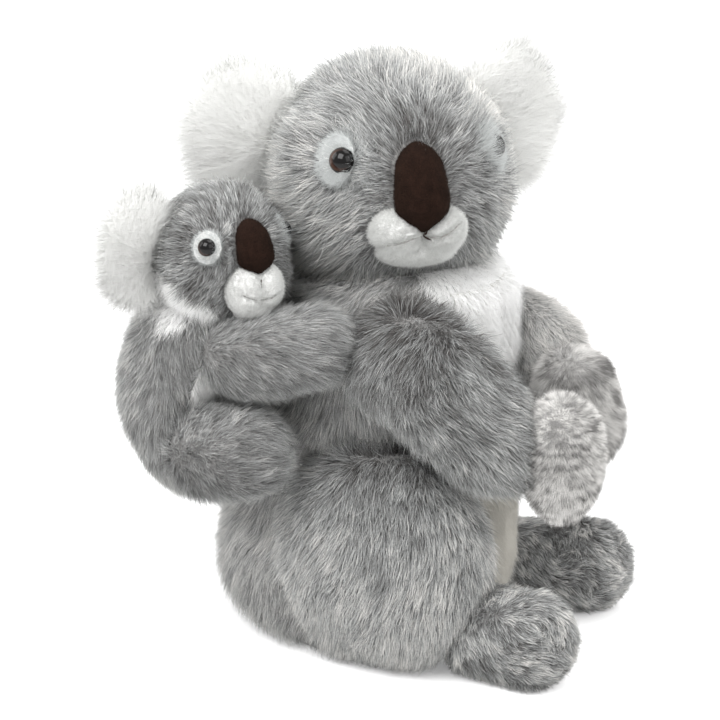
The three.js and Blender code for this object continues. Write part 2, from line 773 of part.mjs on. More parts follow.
const motherFace = {
  headHeight,
  muzzle: { width: muzzleWidth, height: muzzleHeight, depth: muzzleDepth, shares: [-0.9, -0.3] },
  chin: { width: chinWidth, height: chinHeight, depth: chinDepth, shares: [0, -0.86, -0.49] },
  nose: {
    width: noseWidth,
    height: noseHeight,
    depth: noseDepth,
    shares: [0, -0.86, 0.49],
    courseShares: [[0, 0, 0], [0, -0.24, -0.42], [0, -0.36, -0.92]],
  },
  eye: {
    diameter: eyeDiameter,
    patchWidth: eyePatchWidth,
    patchHeight: eyePatchHeight,
    places: { right: [-0.585, -0.72, 0.3], left: [0.74, -0.57, 0.3] },
    patchShifts: { right: -0.2, left: 0 },
  },
};

const babyFace = {
  headHeight: babyHeadHeight,
  muzzle: {
    width: babyMuzzleWidth,
    height: babyMuzzleHeight,
    depth: babyMuzzleDepth,
    shares: [-1, -0.3],
  },
  chin: {
    width: babyMuzzleWidth * babyChinShares[0],
    height: babyMuzzleHeight * babyChinShares[1],
    depth: babyMuzzleDepth * babyChinShares[2],
    shares: [0, -0.96, -0.62],
  },
  nose: {
    width: babyNoseWidth,
    height: babyNoseHeight,
    depth: babyNoseDepth,
    shares: [0, -0.8, 0.72],
    courseShares: [[0, 0, 0], [0, -0.24, -0.42], [0, -0.34, -0.92]],
  },
  eye: {
    diameter: babyEyeDiameter,
    patchWidth: babyEyePatchWidth,
    patchHeight: babyEyePatchHeight,
    places: { right: [-0.64, -0.7, 0.34], left: [0.8, -0.5, 0.34] },
    patchShifts: { right: 0, left: 0 },
  },
};

addBodyAndSeat();
addChestPanel();

const motherHead = bodyGroup(koala, headCentre, headTurn);
addHinge(motherHead, upward, headSwing);
const motherHeadForm = headForm(headWidth, headDepth, headHeight);
addForm("mother_head", motherHead, furGrey, [motherHeadForm]);
addLegs();

const baby = bodyGroup(koala, placeIn(bodyHalf, babySeatShares));
const babyBodyForm = limbForm(origin, babyBodyLength, babyCourseShares, babyBodyWidth, babyBodyDepth, {
  widthShares: babyBodyWidthShares, depthShares: babyBodyWidthShares, sides: 18, rings: 7,
});
addForm("baby_body", baby, furGrey, [babyBodyForm]);
addBabyBelly(babyBodyForm);
const arms = { right: addArm("right"), left: addArm("left") };

const babyHeadCentre = offsetBy(origin, babyCourseShares.at(-1), babyBodyLength);
babyHeadCentre.z += babyHeadHeight / 2 - babyHeadSink;
const babyHead = bodyGroup(baby, babyHeadCentre, babyHeadTurn);
addHinge(babyHead, upward, babyHeadSwing);
const babyHeadFormed = headForm(babyHeadWidth, babyHeadDepth, babyHeadHeight);
addForm("baby_head", babyHead, furGrey, [babyHeadFormed]);
addFeet();
for (const sideName of Object.keys(sides)) addHand(sideName, arms[sideName]);

for (const [sideName, side] of Object.entries(sides)) {
  const place = sidePlace([headWidth / 2, headDepth / 2, headHeight / 2], earPlaceShares, side);
  addEar(`mother_ear_${sideName}`, motherHead, place, {
    reach: earReach,
    root: earRoot,
    height: earHeight,
    thickness: earThickness,
    back: earBackTurn,
    riseShare: earRiseShare,
    swing: earSwing,
  }, side);
}

for (const sideName of Object.keys(sides)) {
  const shoulder = placeIn(babyHalf, babyShoulderShares[sideName]);
  addLimb(`baby_arm_${sideName}`, baby, furGrey, shoulder, babyArmLength, babyArmCourseShares[sideName],
    babyArmWidth, babyLimbWidthShares);
}
for (const sideName of Object.keys(sides)) {
  const hip = placeIn(babyHalf, babyHipShares[sideName]);
  addLimb(`baby_leg_${sideName}`, baby, furGrey, hip, babyLegLength, babyLegCourseShares[sideName],
    babyLegWidth, babyLimbWidthShares);
}

for (const [sideName, side] of Object.entries(sides)) {
  const skullHalf = [babyHeadWidth / 2, babyHeadDepth / 2, babyHeadHeight / 2];
  const place = sidePlace(skullHalf, babyEarPlaceShares, side);
  const folded = side > 0;
  addEar(`baby_ear_${sideName}`, babyHead, place, {
    reach: babyEarReach,
    root: babyEarRoot,
    height: babyEarHeight,
    thickness: babyEarThickness,
    back: folded ? babyEarFoldedTurn : babyEarBackTurn,
    riseShare: folded ? foldedRiseShare : earRiseShare,
    swing: folded ? null : earSwing,
  }, side);
}

addFace("mother", motherHead, motherHeadForm, motherFace);
addFace("baby", babyHead, babyHeadFormed, babyFace);

// Each piece becomes a mesh in its body's group
for (const [name, { group, look, solid }] of pieces) {
  const local = withoutSplinters(solid).transform(group.matrixWorld.clone().invert().elements);
  const mesh = new THREE.Mesh(geometryOf(local), new THREE.MeshStandardMaterial(look));
  mesh.name = name;
  group.add(mesh);
}

export default koala;
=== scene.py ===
"""A sitting plush koala with her baby: sewn skins, fur, faces, eyes, and the studio round them.

Places are in metres in the CAD frame. Sizes in the tables of fur are in millimetres.
"""

import json
import math

import bmesh
import bpy
import numpy as np
from mathutils import Matrix, Vector
from mathutils.bvhtree import BVHTree
from mathutils.kdtree import KDTree


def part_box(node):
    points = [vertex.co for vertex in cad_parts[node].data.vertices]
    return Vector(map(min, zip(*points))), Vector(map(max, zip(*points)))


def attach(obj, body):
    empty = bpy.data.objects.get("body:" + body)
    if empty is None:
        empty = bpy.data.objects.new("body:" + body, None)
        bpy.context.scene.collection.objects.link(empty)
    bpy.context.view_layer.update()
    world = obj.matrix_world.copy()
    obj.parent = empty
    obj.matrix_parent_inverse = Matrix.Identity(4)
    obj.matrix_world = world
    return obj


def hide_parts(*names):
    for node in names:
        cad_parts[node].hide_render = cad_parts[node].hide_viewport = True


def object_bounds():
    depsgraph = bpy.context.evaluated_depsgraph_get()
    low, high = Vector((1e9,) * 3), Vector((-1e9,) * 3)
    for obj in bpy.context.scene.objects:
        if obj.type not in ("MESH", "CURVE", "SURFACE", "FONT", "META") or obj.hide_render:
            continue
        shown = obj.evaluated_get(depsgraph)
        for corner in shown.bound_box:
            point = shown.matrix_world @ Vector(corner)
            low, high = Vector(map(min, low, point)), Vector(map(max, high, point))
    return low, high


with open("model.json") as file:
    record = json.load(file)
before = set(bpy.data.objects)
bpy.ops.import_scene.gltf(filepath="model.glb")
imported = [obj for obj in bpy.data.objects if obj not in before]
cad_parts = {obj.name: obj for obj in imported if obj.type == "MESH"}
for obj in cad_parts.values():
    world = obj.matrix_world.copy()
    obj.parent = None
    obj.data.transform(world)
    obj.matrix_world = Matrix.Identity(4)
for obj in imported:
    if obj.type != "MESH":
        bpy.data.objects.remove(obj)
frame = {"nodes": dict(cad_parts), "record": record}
cad_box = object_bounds()
NODES = frame["nodes"]
BODY = {n: b for b, ns in frame["record"]["behaviour"]["bodies"].items() for n in ns}
SIDES = ("right", "left")
MM = 0.001
COLLECTION = bpy.context.scene.collection

# How far the visible form may reach: 3% of each side and 10 mm past the solids' box
LIMIT_LOW, LIMIT_HIGH = (np.array(c) for c in cad_box)
MARGIN = 0.03 * (LIMIT_HIGH - LIMIT_LOW) + 10 * MM
LIMIT_LOW, LIMIT_HIGH = LIMIT_LOW - MARGIN, LIMIT_HIGH + MARGIN


# ---- camera: the photograph's angle and frame
def direction(azimuth, elevation):
    """The way to something that stands at two angles in radians. Azimuth 0 is straight in front of the part."""
    level = math.cos(elevation)
    return Vector((math.sin(azimuth) * level, -math.cos(azimuth) * level, math.sin(elevation)))


AZIMUTH, ELEVATION = math.radians(-62), math.radians(18)
BACK = direction(AZIMUTH, ELEVATION)
RIGHT = Vector((math.cos(AZIMUTH), math.sin(AZIMUTH), 0))
UP = BACK.cross(RIGHT)
TO_CAMERA, TO_RIGHT = np.array(BACK), np.array(RIGHT)
SENSOR = 36
PICTURE = 720  # pixels of the photograph on each side
DISTANCE, FIELD = 1.6, 0.333  # how wide the picture is at that distance from the camera
AIM, AIM_TO_FIELD = Vector((0.0275, 0.0083, 0.1157)), 0.045
CAMERA_AT = AIM + (AIM_TO_FIELD + DISTANCE) * BACK


def make_camera():
    lens = bpy.data.cameras.new("view")
    lens.sensor_width = SENSOR
    lens.lens = SENSOR * DISTANCE / FIELD
    lens.clip_start = 0.05
    camera = bpy.data.objects.new("view", lens)
    turn = Matrix((RIGHT, UP, BACK)).transposed().to_4x4()
    camera.matrix_world = Matrix.Translation(CAMERA_AT) @ turn
    COLLECTION.objects.link(camera)
    bpy.context.scene.camera = camera


def ray_through(u, v):
    """The way from the camera through a pixel."""
    across, over = (u / PICTURE - 0.5) * FIELD, (0.5 - v / PICTURE) * FIELD
    return (RIGHT * across + UP * over - BACK * DISTANCE).normalized()


# ---- geometry helpers
def arrays_of(mesh):
    """Vertices, vertex normals and triangles of a mesh."""
    count = len(mesh.vertices)
    co, normals = np.zeros(count * 3), np.zeros(count * 3, np.float32)
    mesh.vertices.foreach_get("co", co)
    mesh.vertices.foreach_get("normal", normals)
    mesh.calc_loop_triangles()
    tris = np.zeros(len(mesh.loop_triangles) * 3, np.int32)
    mesh.loop_triangles.foreach_get("vertices", tris)
    return co.reshape(-1, 3), normals.reshape(-1, 3).astype(float), tris.reshape(-1, 3)


def tree_of(mesh):
    co, _, tris = arrays_of(mesh)
    return BVHTree.FromPolygons([tuple(v) for v in co], [tuple(int(i) for i in t) for t in tris])


TREES = {n: tree_of(o.data) for n, o in NODES.items()}
BOXES = {n: tuple(np.array(c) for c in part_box(n)) for n in NODES}


def unit(v):
    return v / np.maximum(np.linalg.norm(v, axis=-1, keepdims=True), 1e-12)


def seam_gap(p, seam):
    """Distance from each point to the nearest point of a seam."""
    return np.min(np.linalg.norm(p[:, None] - seam[None], axis=2), axis=1)


def middle(node):
    """The middle of a node's box."""
    return (BOXES[node][0] + BOXES[node][1]) / 2


def seen_on(node, u, v):
    """The point of a node that the photograph shows at a pixel, or the node's middle if it shows none there."""
    hit = TREES[node].ray_cast(CAMERA_AT, ray_through(u, v))[0]
    return np.array(hit) if hit else middle(node)


CELLS = 32
LATTICE = np.random.RandomState(11).uniform(-1, 1, (CELLS, CELLS, CELLS, 3))


def drift(points, size):
    """Three smooth random values at each point, between -1 and 1, that change over a given size."""
    place = points / size + 2 * CELLS
    cell = np.floor(place).astype(int)
    step = place - cell
    step = step * step * (3 - 2 * step)
    total = np.zeros((len(points), 3))
    for corner in np.ndindex(2, 2, 2):
        weight = np.prod(np.where(corner, step, 1 - step), axis=1)
        x, y, z = ((cell + corner) % CELLS).T
        total += weight[:, None] * LATTICE[x, y, z]
    return total


def rounded(mesh):
    """Shades a mesh smoothly."""
    mesh.polygons.foreach_set("use_smooth", np.ones(len(mesh.polygons), bool))


def add_mesh(name, mesh, material, body):
    """Adds a visible piece that rides on a body."""
    piece = bpy.data.objects.new(name, mesh)
    COLLECTION.objects.link(piece)
    mesh.materials.clear()
    mesh.materials.append(material)
    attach(piece, body)
    return piece


# ---- materials
def linear(hex_colour):
    """Linear light from an sRGB colour."""
    values = [int(hex_colour[i : i + 2], 16) / 255 for i in (1, 3, 5)]
    return tuple(v / 12.92 if v <= 0.04045 else ((v + 0.055) / 1.055) ** 2.4 for v in values) + (1,)


def new_material(name, roughness, **sockets):
    """A Principled material. Sockets are named with _ for each space."""
    material = bpy.data.materials.new(name)
    material.use_nodes = True
    shader = material.node_tree.nodes["Principled BSDF"]
    shader.inputs["Roughness"].default_value = roughness
    for socket, value in sockets.items():
        shader.inputs[socket.replace("_", " ")].default_value = value
    return material, material.node_tree, shader


def ramp(tree, source, stops):
    """Colours or plain levels between stops."""
    node = tree.nodes.new("ShaderNodeValToRGB")
    for _ in range(len(stops) - 2):
        node.color_ramp.elements.new(0.5)
    for element, (place, colour) in zip(node.color_ramp.elements, stops):
        element.position = place
        element.color = linear(colour) if isinstance(colour, str) else (colour, colour, colour, 1)
    tree.links.new(source, node.inputs["Fac"])
    return node.outputs["Color"]


def mixed(tree, factor, first, second, blend="MIX"):
    node = tree.nodes.new("ShaderNodeMix")
    node.data_type = "RGBA"
    node.blend_type = blend

    def socket(name, kind):
        return next(i for i in node.inputs if i.name == name and i.type == kind)

    share = socket("Factor", "VALUE")
    if isinstance(factor, bpy.types.NodeSocket):
        tree.links.new(factor, share)
    else:
        share.default_value = factor
    tree.links.new(first, socket("A", "RGBA"))
    tree.links.new(second, socket("B", "RGBA"))
    return next(o for o in node.outputs if o.type == "RGBA")


def map_places(tree):
    node = tree.nodes.new("ShaderNodeUVMap")
    node.uv_map = "OFBake"
    return node.outputs["UV"]


def fur_material(name, roots, tips, climb=(0.1, 0.8)):
    """Fibres: across the map runs the tint of a fibre, and up the map its length from root to tip.
    The root's colour turns into the tip's between the two heights of climb."""
    material, tree, shader = new_material(name, 0.9, Specular_IOR_Level=0.08)
    places = map_places(tree)
    split = tree.nodes.new("ShaderNodeSeparateXYZ")
    tree.links.new(places, split.inputs[0])
    low = ramp(tree, split.outputs["X"], roots)
    high = ramp(tree, split.outputs["X"], tips)
    along = ramp(tree, split.outputs["Y"], [(climb[0], 0.0), (climb[1], 1.0)])
    tree.links.new(mixed(tree, along, low, high), shader.inputs["Base Color"])
    return material


def noise_node(tree, scale, detail=4):
    coords = tree.nodes.new("ShaderNodeTexCoord")
    node = tree.nodes.new("ShaderNodeTexNoise")
    node.inputs["Scale"].default_value = scale
    node.inputs["Detail"].default_value = detail
    node.inputs["Roughness"].default_value = 0.6
    tree.links.new(coords.outputs["Object"], node.inputs["Vector"])
    return node.outputs["Fac"]


def cloth_material(name, dark, light, scale=900, bump=0.25):
    """Backing cloth or velour: a fine nap over broader soft patches."""
    material, tree, shader = new_material(name, 0.95, Specular_IOR_Level=0.06)
    fine, broad = noise_node(tree, scale), noise_node(tree, scale / 12, 2)
    nap = ramp(tree, fine, [(0.3, dark), (0.7, light)])
    patches = ramp(tree, broad, [(0.35, dark), (0.65, light)])
    tree.links.new(mixed(tree, 0.35, nap, patches), shader.inputs["Base Color"])
    relief = tree.nodes.new("ShaderNodeBump")
    relief.inputs["Strength"].default_value = bump
    relief.inputs["Distance"].default_value = 0.0004
    tree.links.new(fine, relief.inputs["Height"])
    tree.links.new(relief.outputs["Normal"], shader.inputs["Normal"])
    return material


MATERIALS = {
    "grey": fur_material(
        "grey_fur",
        [(0, "#393634"), (0.5, "#656565"), (1, "#a3a4a3")],
        [(0, "#565250"), (0.4, "#a0a2a1"), (0.7, "#cdcecc"), (0.86, "#e4e1dc"), (1, "#f4f1ec")],
        climb=(0.2, 0.85),
    ),
    "patch": fur_material("patch_pile", [(0, "#9fa1a0"), (1, "#b5b8b7")], [(0, "#abaead"), (1, "#cbcecd")]),
    "white": fur_material("white_fur", [(0, "#d6d7d3"), (1, "#ebebe8")], [(0, "#e4e4e1"), (1, "#f7f7f5")]),
    "hand": fur_material(
        "hand_fur",
        [(0, "#a5a4a2"), (1, "#d3d2cf")],
        [(0, "#454342"), (0.3, "#7d7b79"), (0.5, "#cfcdca"), (1, "#edebe8")],
        climb=(0.25, 0.7),
    ),
    "bib": fur_material("bib_fur", [(0, "#d6d6d3"), (1, "#f0f0ee")], [(0, "#e8e8e6"), (1, "#fafaf9")]),
    # Partly painted shade: the belly's beige is darkened for the shade between the legs and arms.
    "belly": fur_material("belly_pile", [(0, "#a39f96"), (1, "#bfbbb2")], [(0, "#b3b0a7"), (1, "#d0cdc5")]),
    # The muzzle pile's darkest stops carry the painted shade along the mouth's seam.
    "pile": fur_material(
        "white_pile",
        [(0, "#6c6967"), (0.4, "#b4b5b2"), (1, "#cacbc8")],
        [(0, "#8a8785"), (0.4, "#c6c7c4"), (1, "#e9eae7")],
    ),
    "velour": fur_material("nose_pile", [(0, "#130d0a"), (1, "#231915")], [(0, "#1b120e"), (1, "#38291f")]),
    "grey_skin": cloth_material("grey_backing", "#6e6d6c", "#92918f"),
    "white_skin": cloth_material("white_backing", "#d9d9d7", "#eaeae8"),
    "hand_skin": cloth_material("hand_backing", "#8a8988", "#b0afae"),
    # Partly painted shade: the belly backing is darkened as its pile is.
    "belly_skin": cloth_material("belly_backing", "#a9a69d", "#bdbab2"),
    "nose": cloth_material("nose_velour", "#130c09", "#2a1c16", scale=2200, bump=0.5),
    "thread": cloth_material("mouth_thread", "#1c1412", "#3a2d29", scale=3000),
    # Painted shade: a grey tube sunk among the pile along each mouth crease.
    "crease": cloth_material("mouth_crease", "#7b7775", "#95918e", scale=3000),
    "lining": cloth_material("lining_cloth", "#c9c9c5", "#dfdfdb", scale=1500, bump=0.4),
}
BACKINGS = {"grey": "grey_skin", "white": "white_skin", "hand": "hand_skin"}


# ---- skins
PULL = 0.7  # how deep a seam pulls the cloth in, as a share of its width


def skin(node, look, voxel=2.6, smooth=6, also=(), seam=None, width=None):
    """The sewn and stuffed form of a node, or of several under one cloth, rounded where its solid has facets.
    A seam is a line of points where the cloth is pulled in, over a width in millimetres."""
    whole = bmesh.new()
    for part in (node, *also):
        whole.from_mesh(NODES[part].data)
    joined = bpy.data.meshes.new("raw")
    whole.to_mesh(joined)
    whole.free()
    raw = bpy.data.objects.new("raw", joined)
    COLLECTION.objects.link(raw)
    remesh = raw.modifiers.new("remesh", "REMESH")
    remesh.mode = "VOXEL"
    remesh.voxel_size = voxel * MM
    ease = raw.modifiers.new("ease", "SMOOTH")
    ease.factor = 0.5
    ease.iterations = smooth
    seen = raw.evaluated_get(bpy.context.evaluated_depsgraph_get())
    mesh = bpy.data.meshes.new_from_object(seen)
    bpy.data.objects.remove(raw)
    mesh.name = f"{node}_skin"
    if seam is not None:
        co, normals, _ = arrays_of(mesh)
        gap = seam_gap(co, seam) / (width * MM)
        co -= normals * (PULL * width * MM * np.exp(-(gap ** 2)))[:, None]
        mesh.vertices.foreach_set("co", co.ravel().astype(np.float32))
        mesh.update()
    rounded(mesh)
    piece = add_mesh(mesh.name, mesh, MATERIALS[look], BODY[node])
    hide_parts(node, *also)
    return piece


# ---- fur: how fibres are made
SQUARE_CM = 1e4  # in a square metre
MOST_FACES = 190000  # of one piece
TINT_STEP = 0.004  # between the sides of a fibre on the map, so that they don't lie on one line
RINGS = {"bent": (0, 0.5), "straight": (0,)}  # where along a fibre its rings of vertices lie
RING_WIDTHS = (0.9, 1)
THICKNESSES = (0.75, 1.2)  # how much one fibre may be thinner or thicker than its kind
LENGTHS = (0.4, 1.9)  # how much it may be shorter or longer
UNEVEN, UNEVEN_OVER = 0.18, 13 * MM  # how much whole areas differ in length, and their size
SHORTER_AROUND = 0.62  # how much length fur loses at a form that parts it
WANDER_OVER = 16 * MM
CLEAR_AHEAD = 1.6 * MM
ON_FLOOR, LOWEST_PATH, LOWEST_VERTEX = 0.8 * MM, 0.35 * MM, 0.1 * MM
SPARE = 0.6 * MM  # kept free inside the limits


def sample(mesh, density, rng):
    """Roots spread evenly over a mesh, with the surface's normal there. The density is per square centimetre."""
    co, normals, tris = arrays_of(mesh)
    corners = co[tris]
    areas = np.linalg.norm(np.cross(corners[:, 1] - corners[:, 0], corners[:, 2] - corners[:, 0]), axis=1) / 2
    count = int(areas.sum() * SQUARE_CM * density)
    face = np.searchsorted(np.cumsum(areas), rng.uniform(0, areas.sum(), count)).clip(0, len(tris) - 1)
    a, b = rng.uniform(0, 1, (2, count))
    flip = a + b > 1
    a[flip], b[flip] = 1 - a[flip], 1 - b[flip]
    weights = np.stack([1 - a - b, a, b], 1)[..., None]
    return (co[tris[face]] * weights).sum(1), unit((normals[tris[face]] * weights).sum(1))


def open_air(node, roots, normals):
    """Which roots have free space in front of them, and aren't pressed against another piece or the floor."""
    ahead = roots + normals * CLEAR_AHEAD
    free = ~((roots[:, 2] < ON_FLOOR) & (normals[:, 2] < -0.3))
    for other, (low, high) in BOXES.items():
        if other == node:
            continue
        near = np.flatnonzero(free & (ahead > low).all(1) & (ahead < high).all(1))
        for i in near:
            place, normal, _, _ = TREES[other].find_nearest(Vector(ahead[i]))
            if (Vector(ahead[i]) - place).dot(normal) < 0:
                free[i] = False
    return free


def across_skin(vectors, normals):
    """Vectors turned into the surface."""
    return unit(vectors - (vectors * normals).sum(1, keepdims=True) * normals)


def lay(roots, normals, spec, rng):
    """Way and length of each fibre. Round a form that stands out of the fur it turns away and is shorter."""
    comb = across_skin(spec["comb"](roots, normals), normals)
    lengths = spec["length"] * MM * np.clip(1 + spec["vary"] * rng.standard_normal(len(roots)), *LENGTHS)
    lengths *= 1 + UNEVEN * drift(roots, UNEVEN_OVER)[:, 0]
    if "reach" in spec:
        lengths *= spec["reach"](roots)
    for centre, radius, fade, push in spec.get("around", ()):
        away = roots - centre
        distance = np.linalg.norm(away, axis=1)
        near = np.exp(-np.clip(distance - radius * MM, 0, None) / (fade * MM))[:, None]
        comb = across_skin(comb * (1 - near) + near * push * unit(away), normals)
        lengths *= 1 - SHORTER_AROUND * near[:, 0]
    return comb, lengths


def curve(roots, normals, comb, lengths, spec, rng):
    """Paths that leave the skin steeply and lie down towards the tip, with the shares of their points."""
    wander = across_skin(drift(roots, WANDER_OVER) + 1e-6, normals) * spec["wander"]
    stray = spec["stray"]
    low, high = spec["lift"]
    start = unit(normals * low + (comb + wander) * (1 - low) + stray * rng.standard_normal(roots.shape))
    end = unit(normals * high + (comb + 1.3 * wander) * (1 - high) + 1.2 * stray * rng.standard_normal(roots.shape)
               + np.array([0, 0, -spec["droop"]]))
    shares = np.array(RINGS[spec["rings"]] + (1,))
    s = shares[None, :, None]
    early, late = s - s * s / 2, s * s / 2
    paths = roots[:, None] + lengths[:, None, None] * (start[:, None] * early + end[:, None] * late)
    return paths, shares


def gather(paths, shares, roots, spec, rng):
    """Pulls the paths towards the leader of their clump, and returns each clump's change of tint."""
    count = len(roots)
    if not spec["clump"]:
        return np.zeros(count)
    leaders = rng.permutation(count)[: max(int(count / spec["clump_count"]), 1)]
    tree = KDTree(len(leaders))
    for k, i in enumerate(leaders):
        tree.insert(roots[i], k)
    tree.balance()
    own = np.array([tree.find(r)[1] for r in roots])
    pull = (spec["clump"] * rng.uniform(0.3, 1, count)[:, None] * shares[None, :] ** 1.4)[..., None]
    paths += pull * (paths[leaders[own]] - paths)
    return spec["clump_tint"] * rng.standard_normal(len(leaders))[own]


def held_in(paths, roots):
    """Shortens the fibres that would reach past the limits, and keeps them off the floor."""
    share = np.ones(len(roots))
    for limit, way in ((LIMIT_LOW + SPARE, -1), (LIMIT_HIGH - SPARE, 1)):
        furthest = ((paths - roots[:, None]) * way).max(1)
        share = np.minimum(share, ((limit - roots) * way / np.maximum(furthest, 1e-6)).min(1))
    paths = roots[:, None] + (paths - roots[:, None]) * np.clip(share, 0.05, 1)[:, None, None]
    paths[..., 2] = np.maximum(paths[..., 2], LOWEST_PATH)
    return paths


def grow(node, mesh, spec, rng):
    """The fibres of one kind on a node: paths, shares of their points, the skin's normals, and tints."""
    roots, normals = sample(mesh, spec["density"], rng)
    if "only" in spec:
        keep = spec["only"](roots, normals)
        roots, normals = roots[keep], normals[keep]
    keep = open_air(node, roots, normals)
    roots, normals = roots[keep], normals[keep]
    comb, lengths = lay(roots, normals, spec, rng)
    paths, shares = curve(roots, normals, comb, lengths, spec, rng)
    tint = gather(paths, shares, roots, spec, rng)
    tint += spec["tint"] + spec["fibre_tint"] * rng.standard_normal(len(roots))
    spots = roots * np.array(spec["stretch"])
    size = spec["patch"] * MM
    patches = drift(spots, size)[:, 0] + 0.6 * drift(spots + 0.3, 0.45 * size)[:, 1]
    tint += spec["patch_tint"] * patches
    if "shade" in spec:
        tint += spec["shade"](roots, normals)
    return held_in(paths, roots), shares, normals, np.clip(tint, 0.02, 0.98)


def fibre_faces(rings):
    """The faces of one fibre: their corners with each one's column and ring, and where each face starts."""
    loops, starts, totals, columns, heights = [], [], [], [], []

    def face(corners, cols, rows):
        starts.append(len(loops))
        totals.append(len(corners))
        loops.extend(corners)
        columns.extend(cols)
        heights.extend(rows)

    last = 3 * (rings - 1)
    for column in range(3):
        after = (column + 1) % 3
        for ring in range(rings - 1):
            a, b = 3 * ring + column, 3 * ring + after
            face((a, b, b + 3, a + 3), (column, after, after, column), (ring, ring, ring + 1, ring + 1))
        face((last + column, last + after, last + 3), (column, after, 1), (rings - 1, rings - 1, rings))
    face((2, 1, 0), (2, 1, 0), (0, 0, 0))
    return np.array(loops), np.array(starts), np.array(totals), np.array(columns), np.array(heights)


def fibres(paths, shares, normals, tint, radius, soften, rng):
    """One mesh of tapered three-sided fibres. As soft hair is, they are shaded partly as the surface under them."""
    count, rings = len(paths), len(shares) - 1
    along = np.gradient(paths, axis=1)
    side = unit(np.cross(along, normals[:, None] + 0.01))
    other = unit(np.cross(along, side))
    spin = rng.uniform(0, 2 * math.pi, count)
    thickness = radius * MM * np.array(RING_WIDTHS)[:rings] * rng.uniform(*THICKNESSES, count)[:, None]
    verts = np.zeros((count, 3 * rings + 1, 3))
    for column in range(3):
        angle = spin + column * 2 * math.pi / 3
        offset = np.cos(angle)[:, None, None] * side + np.sin(angle)[:, None, None] * other
        verts[:, column : 3 * rings : 3] = paths[:, :rings] + offset[:, :rings] * thickness[..., None]
    verts[:, -1] = paths[:, -1]
    verts[..., 2] = np.maximum(verts[..., 2], LOWEST_VERTEX)

    loops, starts, totals, columns, heights = fibre_faces(rings)
    base = np.arange(count)[:, None]
    all_loops = (loops[None] + base * (3 * rings + 1)).ravel()
    all_starts = (starts[None] + base * len(loops)).ravel()
    mesh = bpy.data.meshes.new("fibres")
    mesh.vertices.add(verts.shape[0] * verts.shape[1])
    mesh.vertices.foreach_set("co", verts.ravel().astype(np.float32))
    mesh.loops.add(len(all_loops))
    mesh.loops.foreach_set("vertex_index", all_loops.astype(np.int32))
    mesh.polygons.add(len(all_starts))
    mesh.polygons.foreach_set("loop_start", all_starts.astype(np.int32))
    mesh.polygons.foreach_set("loop_total", np.tile(totals, count).astype(np.int32))
    rounded(mesh)
    u = tint[:, None] + (columns[None] - 1) * TINT_STEP
    v = np.tile(shares[heights].astype(float), (count, 1))
    v[:, -3:] += np.array([0, 0.01, 0.004])  # a small triangle of the map for the root's end
    uv = mesh.uv_layers.new(name="OFBake")
    uv.data.foreach_set("uv", np.clip(np.stack([u, v], -1), 0, 1).ravel().astype(np.float32))
    mesh.update(calc_edges=True)

    round_normals = np.zeros(verts.shape)
    for column in range(3):
        ring_points = verts[:, column : 3 * rings : 3]
        round_normals[:, column : 3 * rings : 3] = unit(ring_points - paths[:, :rings])
    round_normals[:, -1] = unit(along[:, -1])
    blended = unit(round_normals * (1 - soften) + normals[:, None] * soften)
    store = mesh.attributes.new("custom_normal", "FLOAT_VECTOR", "POINT")
    store.data.foreach_set("vector", blended.ravel().astype(np.float32))
    return mesh


def add_fur(node, piece, look, spec, name="fur"):
    """Grows one kind of fur on a node's skin, in as many pieces as its faces need."""
    rng = np.random.RandomState(sum(map(ord, node + name)))
    paths, shares, normals, tint = grow(node, piece.data, spec, rng)
    faces_each = 6 * len(shares) - 8
    parts = max(1, math.ceil(len(paths) * faces_each / MOST_FACES))
    upwards = np.argsort(paths[:, 0, 2], kind="stable")
    for part, chosen in enumerate(np.array_split(upwards, parts)):
        mesh = fibres(paths[chosen], shares, normals[chosen], tint[chosen], spec["radius"], spec["soften"], rng)
        label = f"{node}_{name}_{part + 1}" if parts > 1 else f"{node}_{name}"
        mesh.name = label
        add_mesh(label, mesh, MATERIALS[look], BODY[node])


# ---- mouth lines, as pixels of the photograph
MOUTHS = (
    (
        "mother_mouth",
        [(374, 246), (388, 247), (403, 244), (421, 237), (440, 239), (452, 232), (462, 222)],
        0.35,
        "crease",
    ),
    ("mother_lip_thread", [(426, 229), (425, 235), (432, 239)], 0.4, "thread"),
    ("baby_mouth", [(242, 296), (252, 300), (262, 301), (272, 299), (280, 294)], 0.25, "crease"),
    ("baby_lip_thread", [(262, 280), (262, 284), (262, 289)], 0.3, "thread"),
)
# A crease's tube of painted shade lies below the surface, among the pile.
SEWN_HEIGHTS = {"thread": 1.1, "crease": -0.6}


def sewn_path(prefix, pixels):
    """Points and normals on a muzzle along a line that the photograph shows."""
    places = np.array(pixels, float)
    steps = np.linspace(0, len(places) - 1, 9 * len(places))
    across, down = (np.interp(steps, range(len(places)), places[:, i]) for i in (0, 1))
    path, normals = [], []
    for u, v in zip(across, down):
        way = ray_through(u, v)
        hits = [TREES[f"{prefix}_{part}"].ray_cast(CAMERA_AT, way) for part in ("muzzle", "chin", "nose")]
        hits = [h for h in hits if h[0]]
        if hits:
            place, normal, _, _ = min(hits, key=lambda h: (h[0] - CAMERA_AT).length)
            path.append(np.array(place))
            normals.append(np.array(normal))
    return np.array(path), np.array(normals)


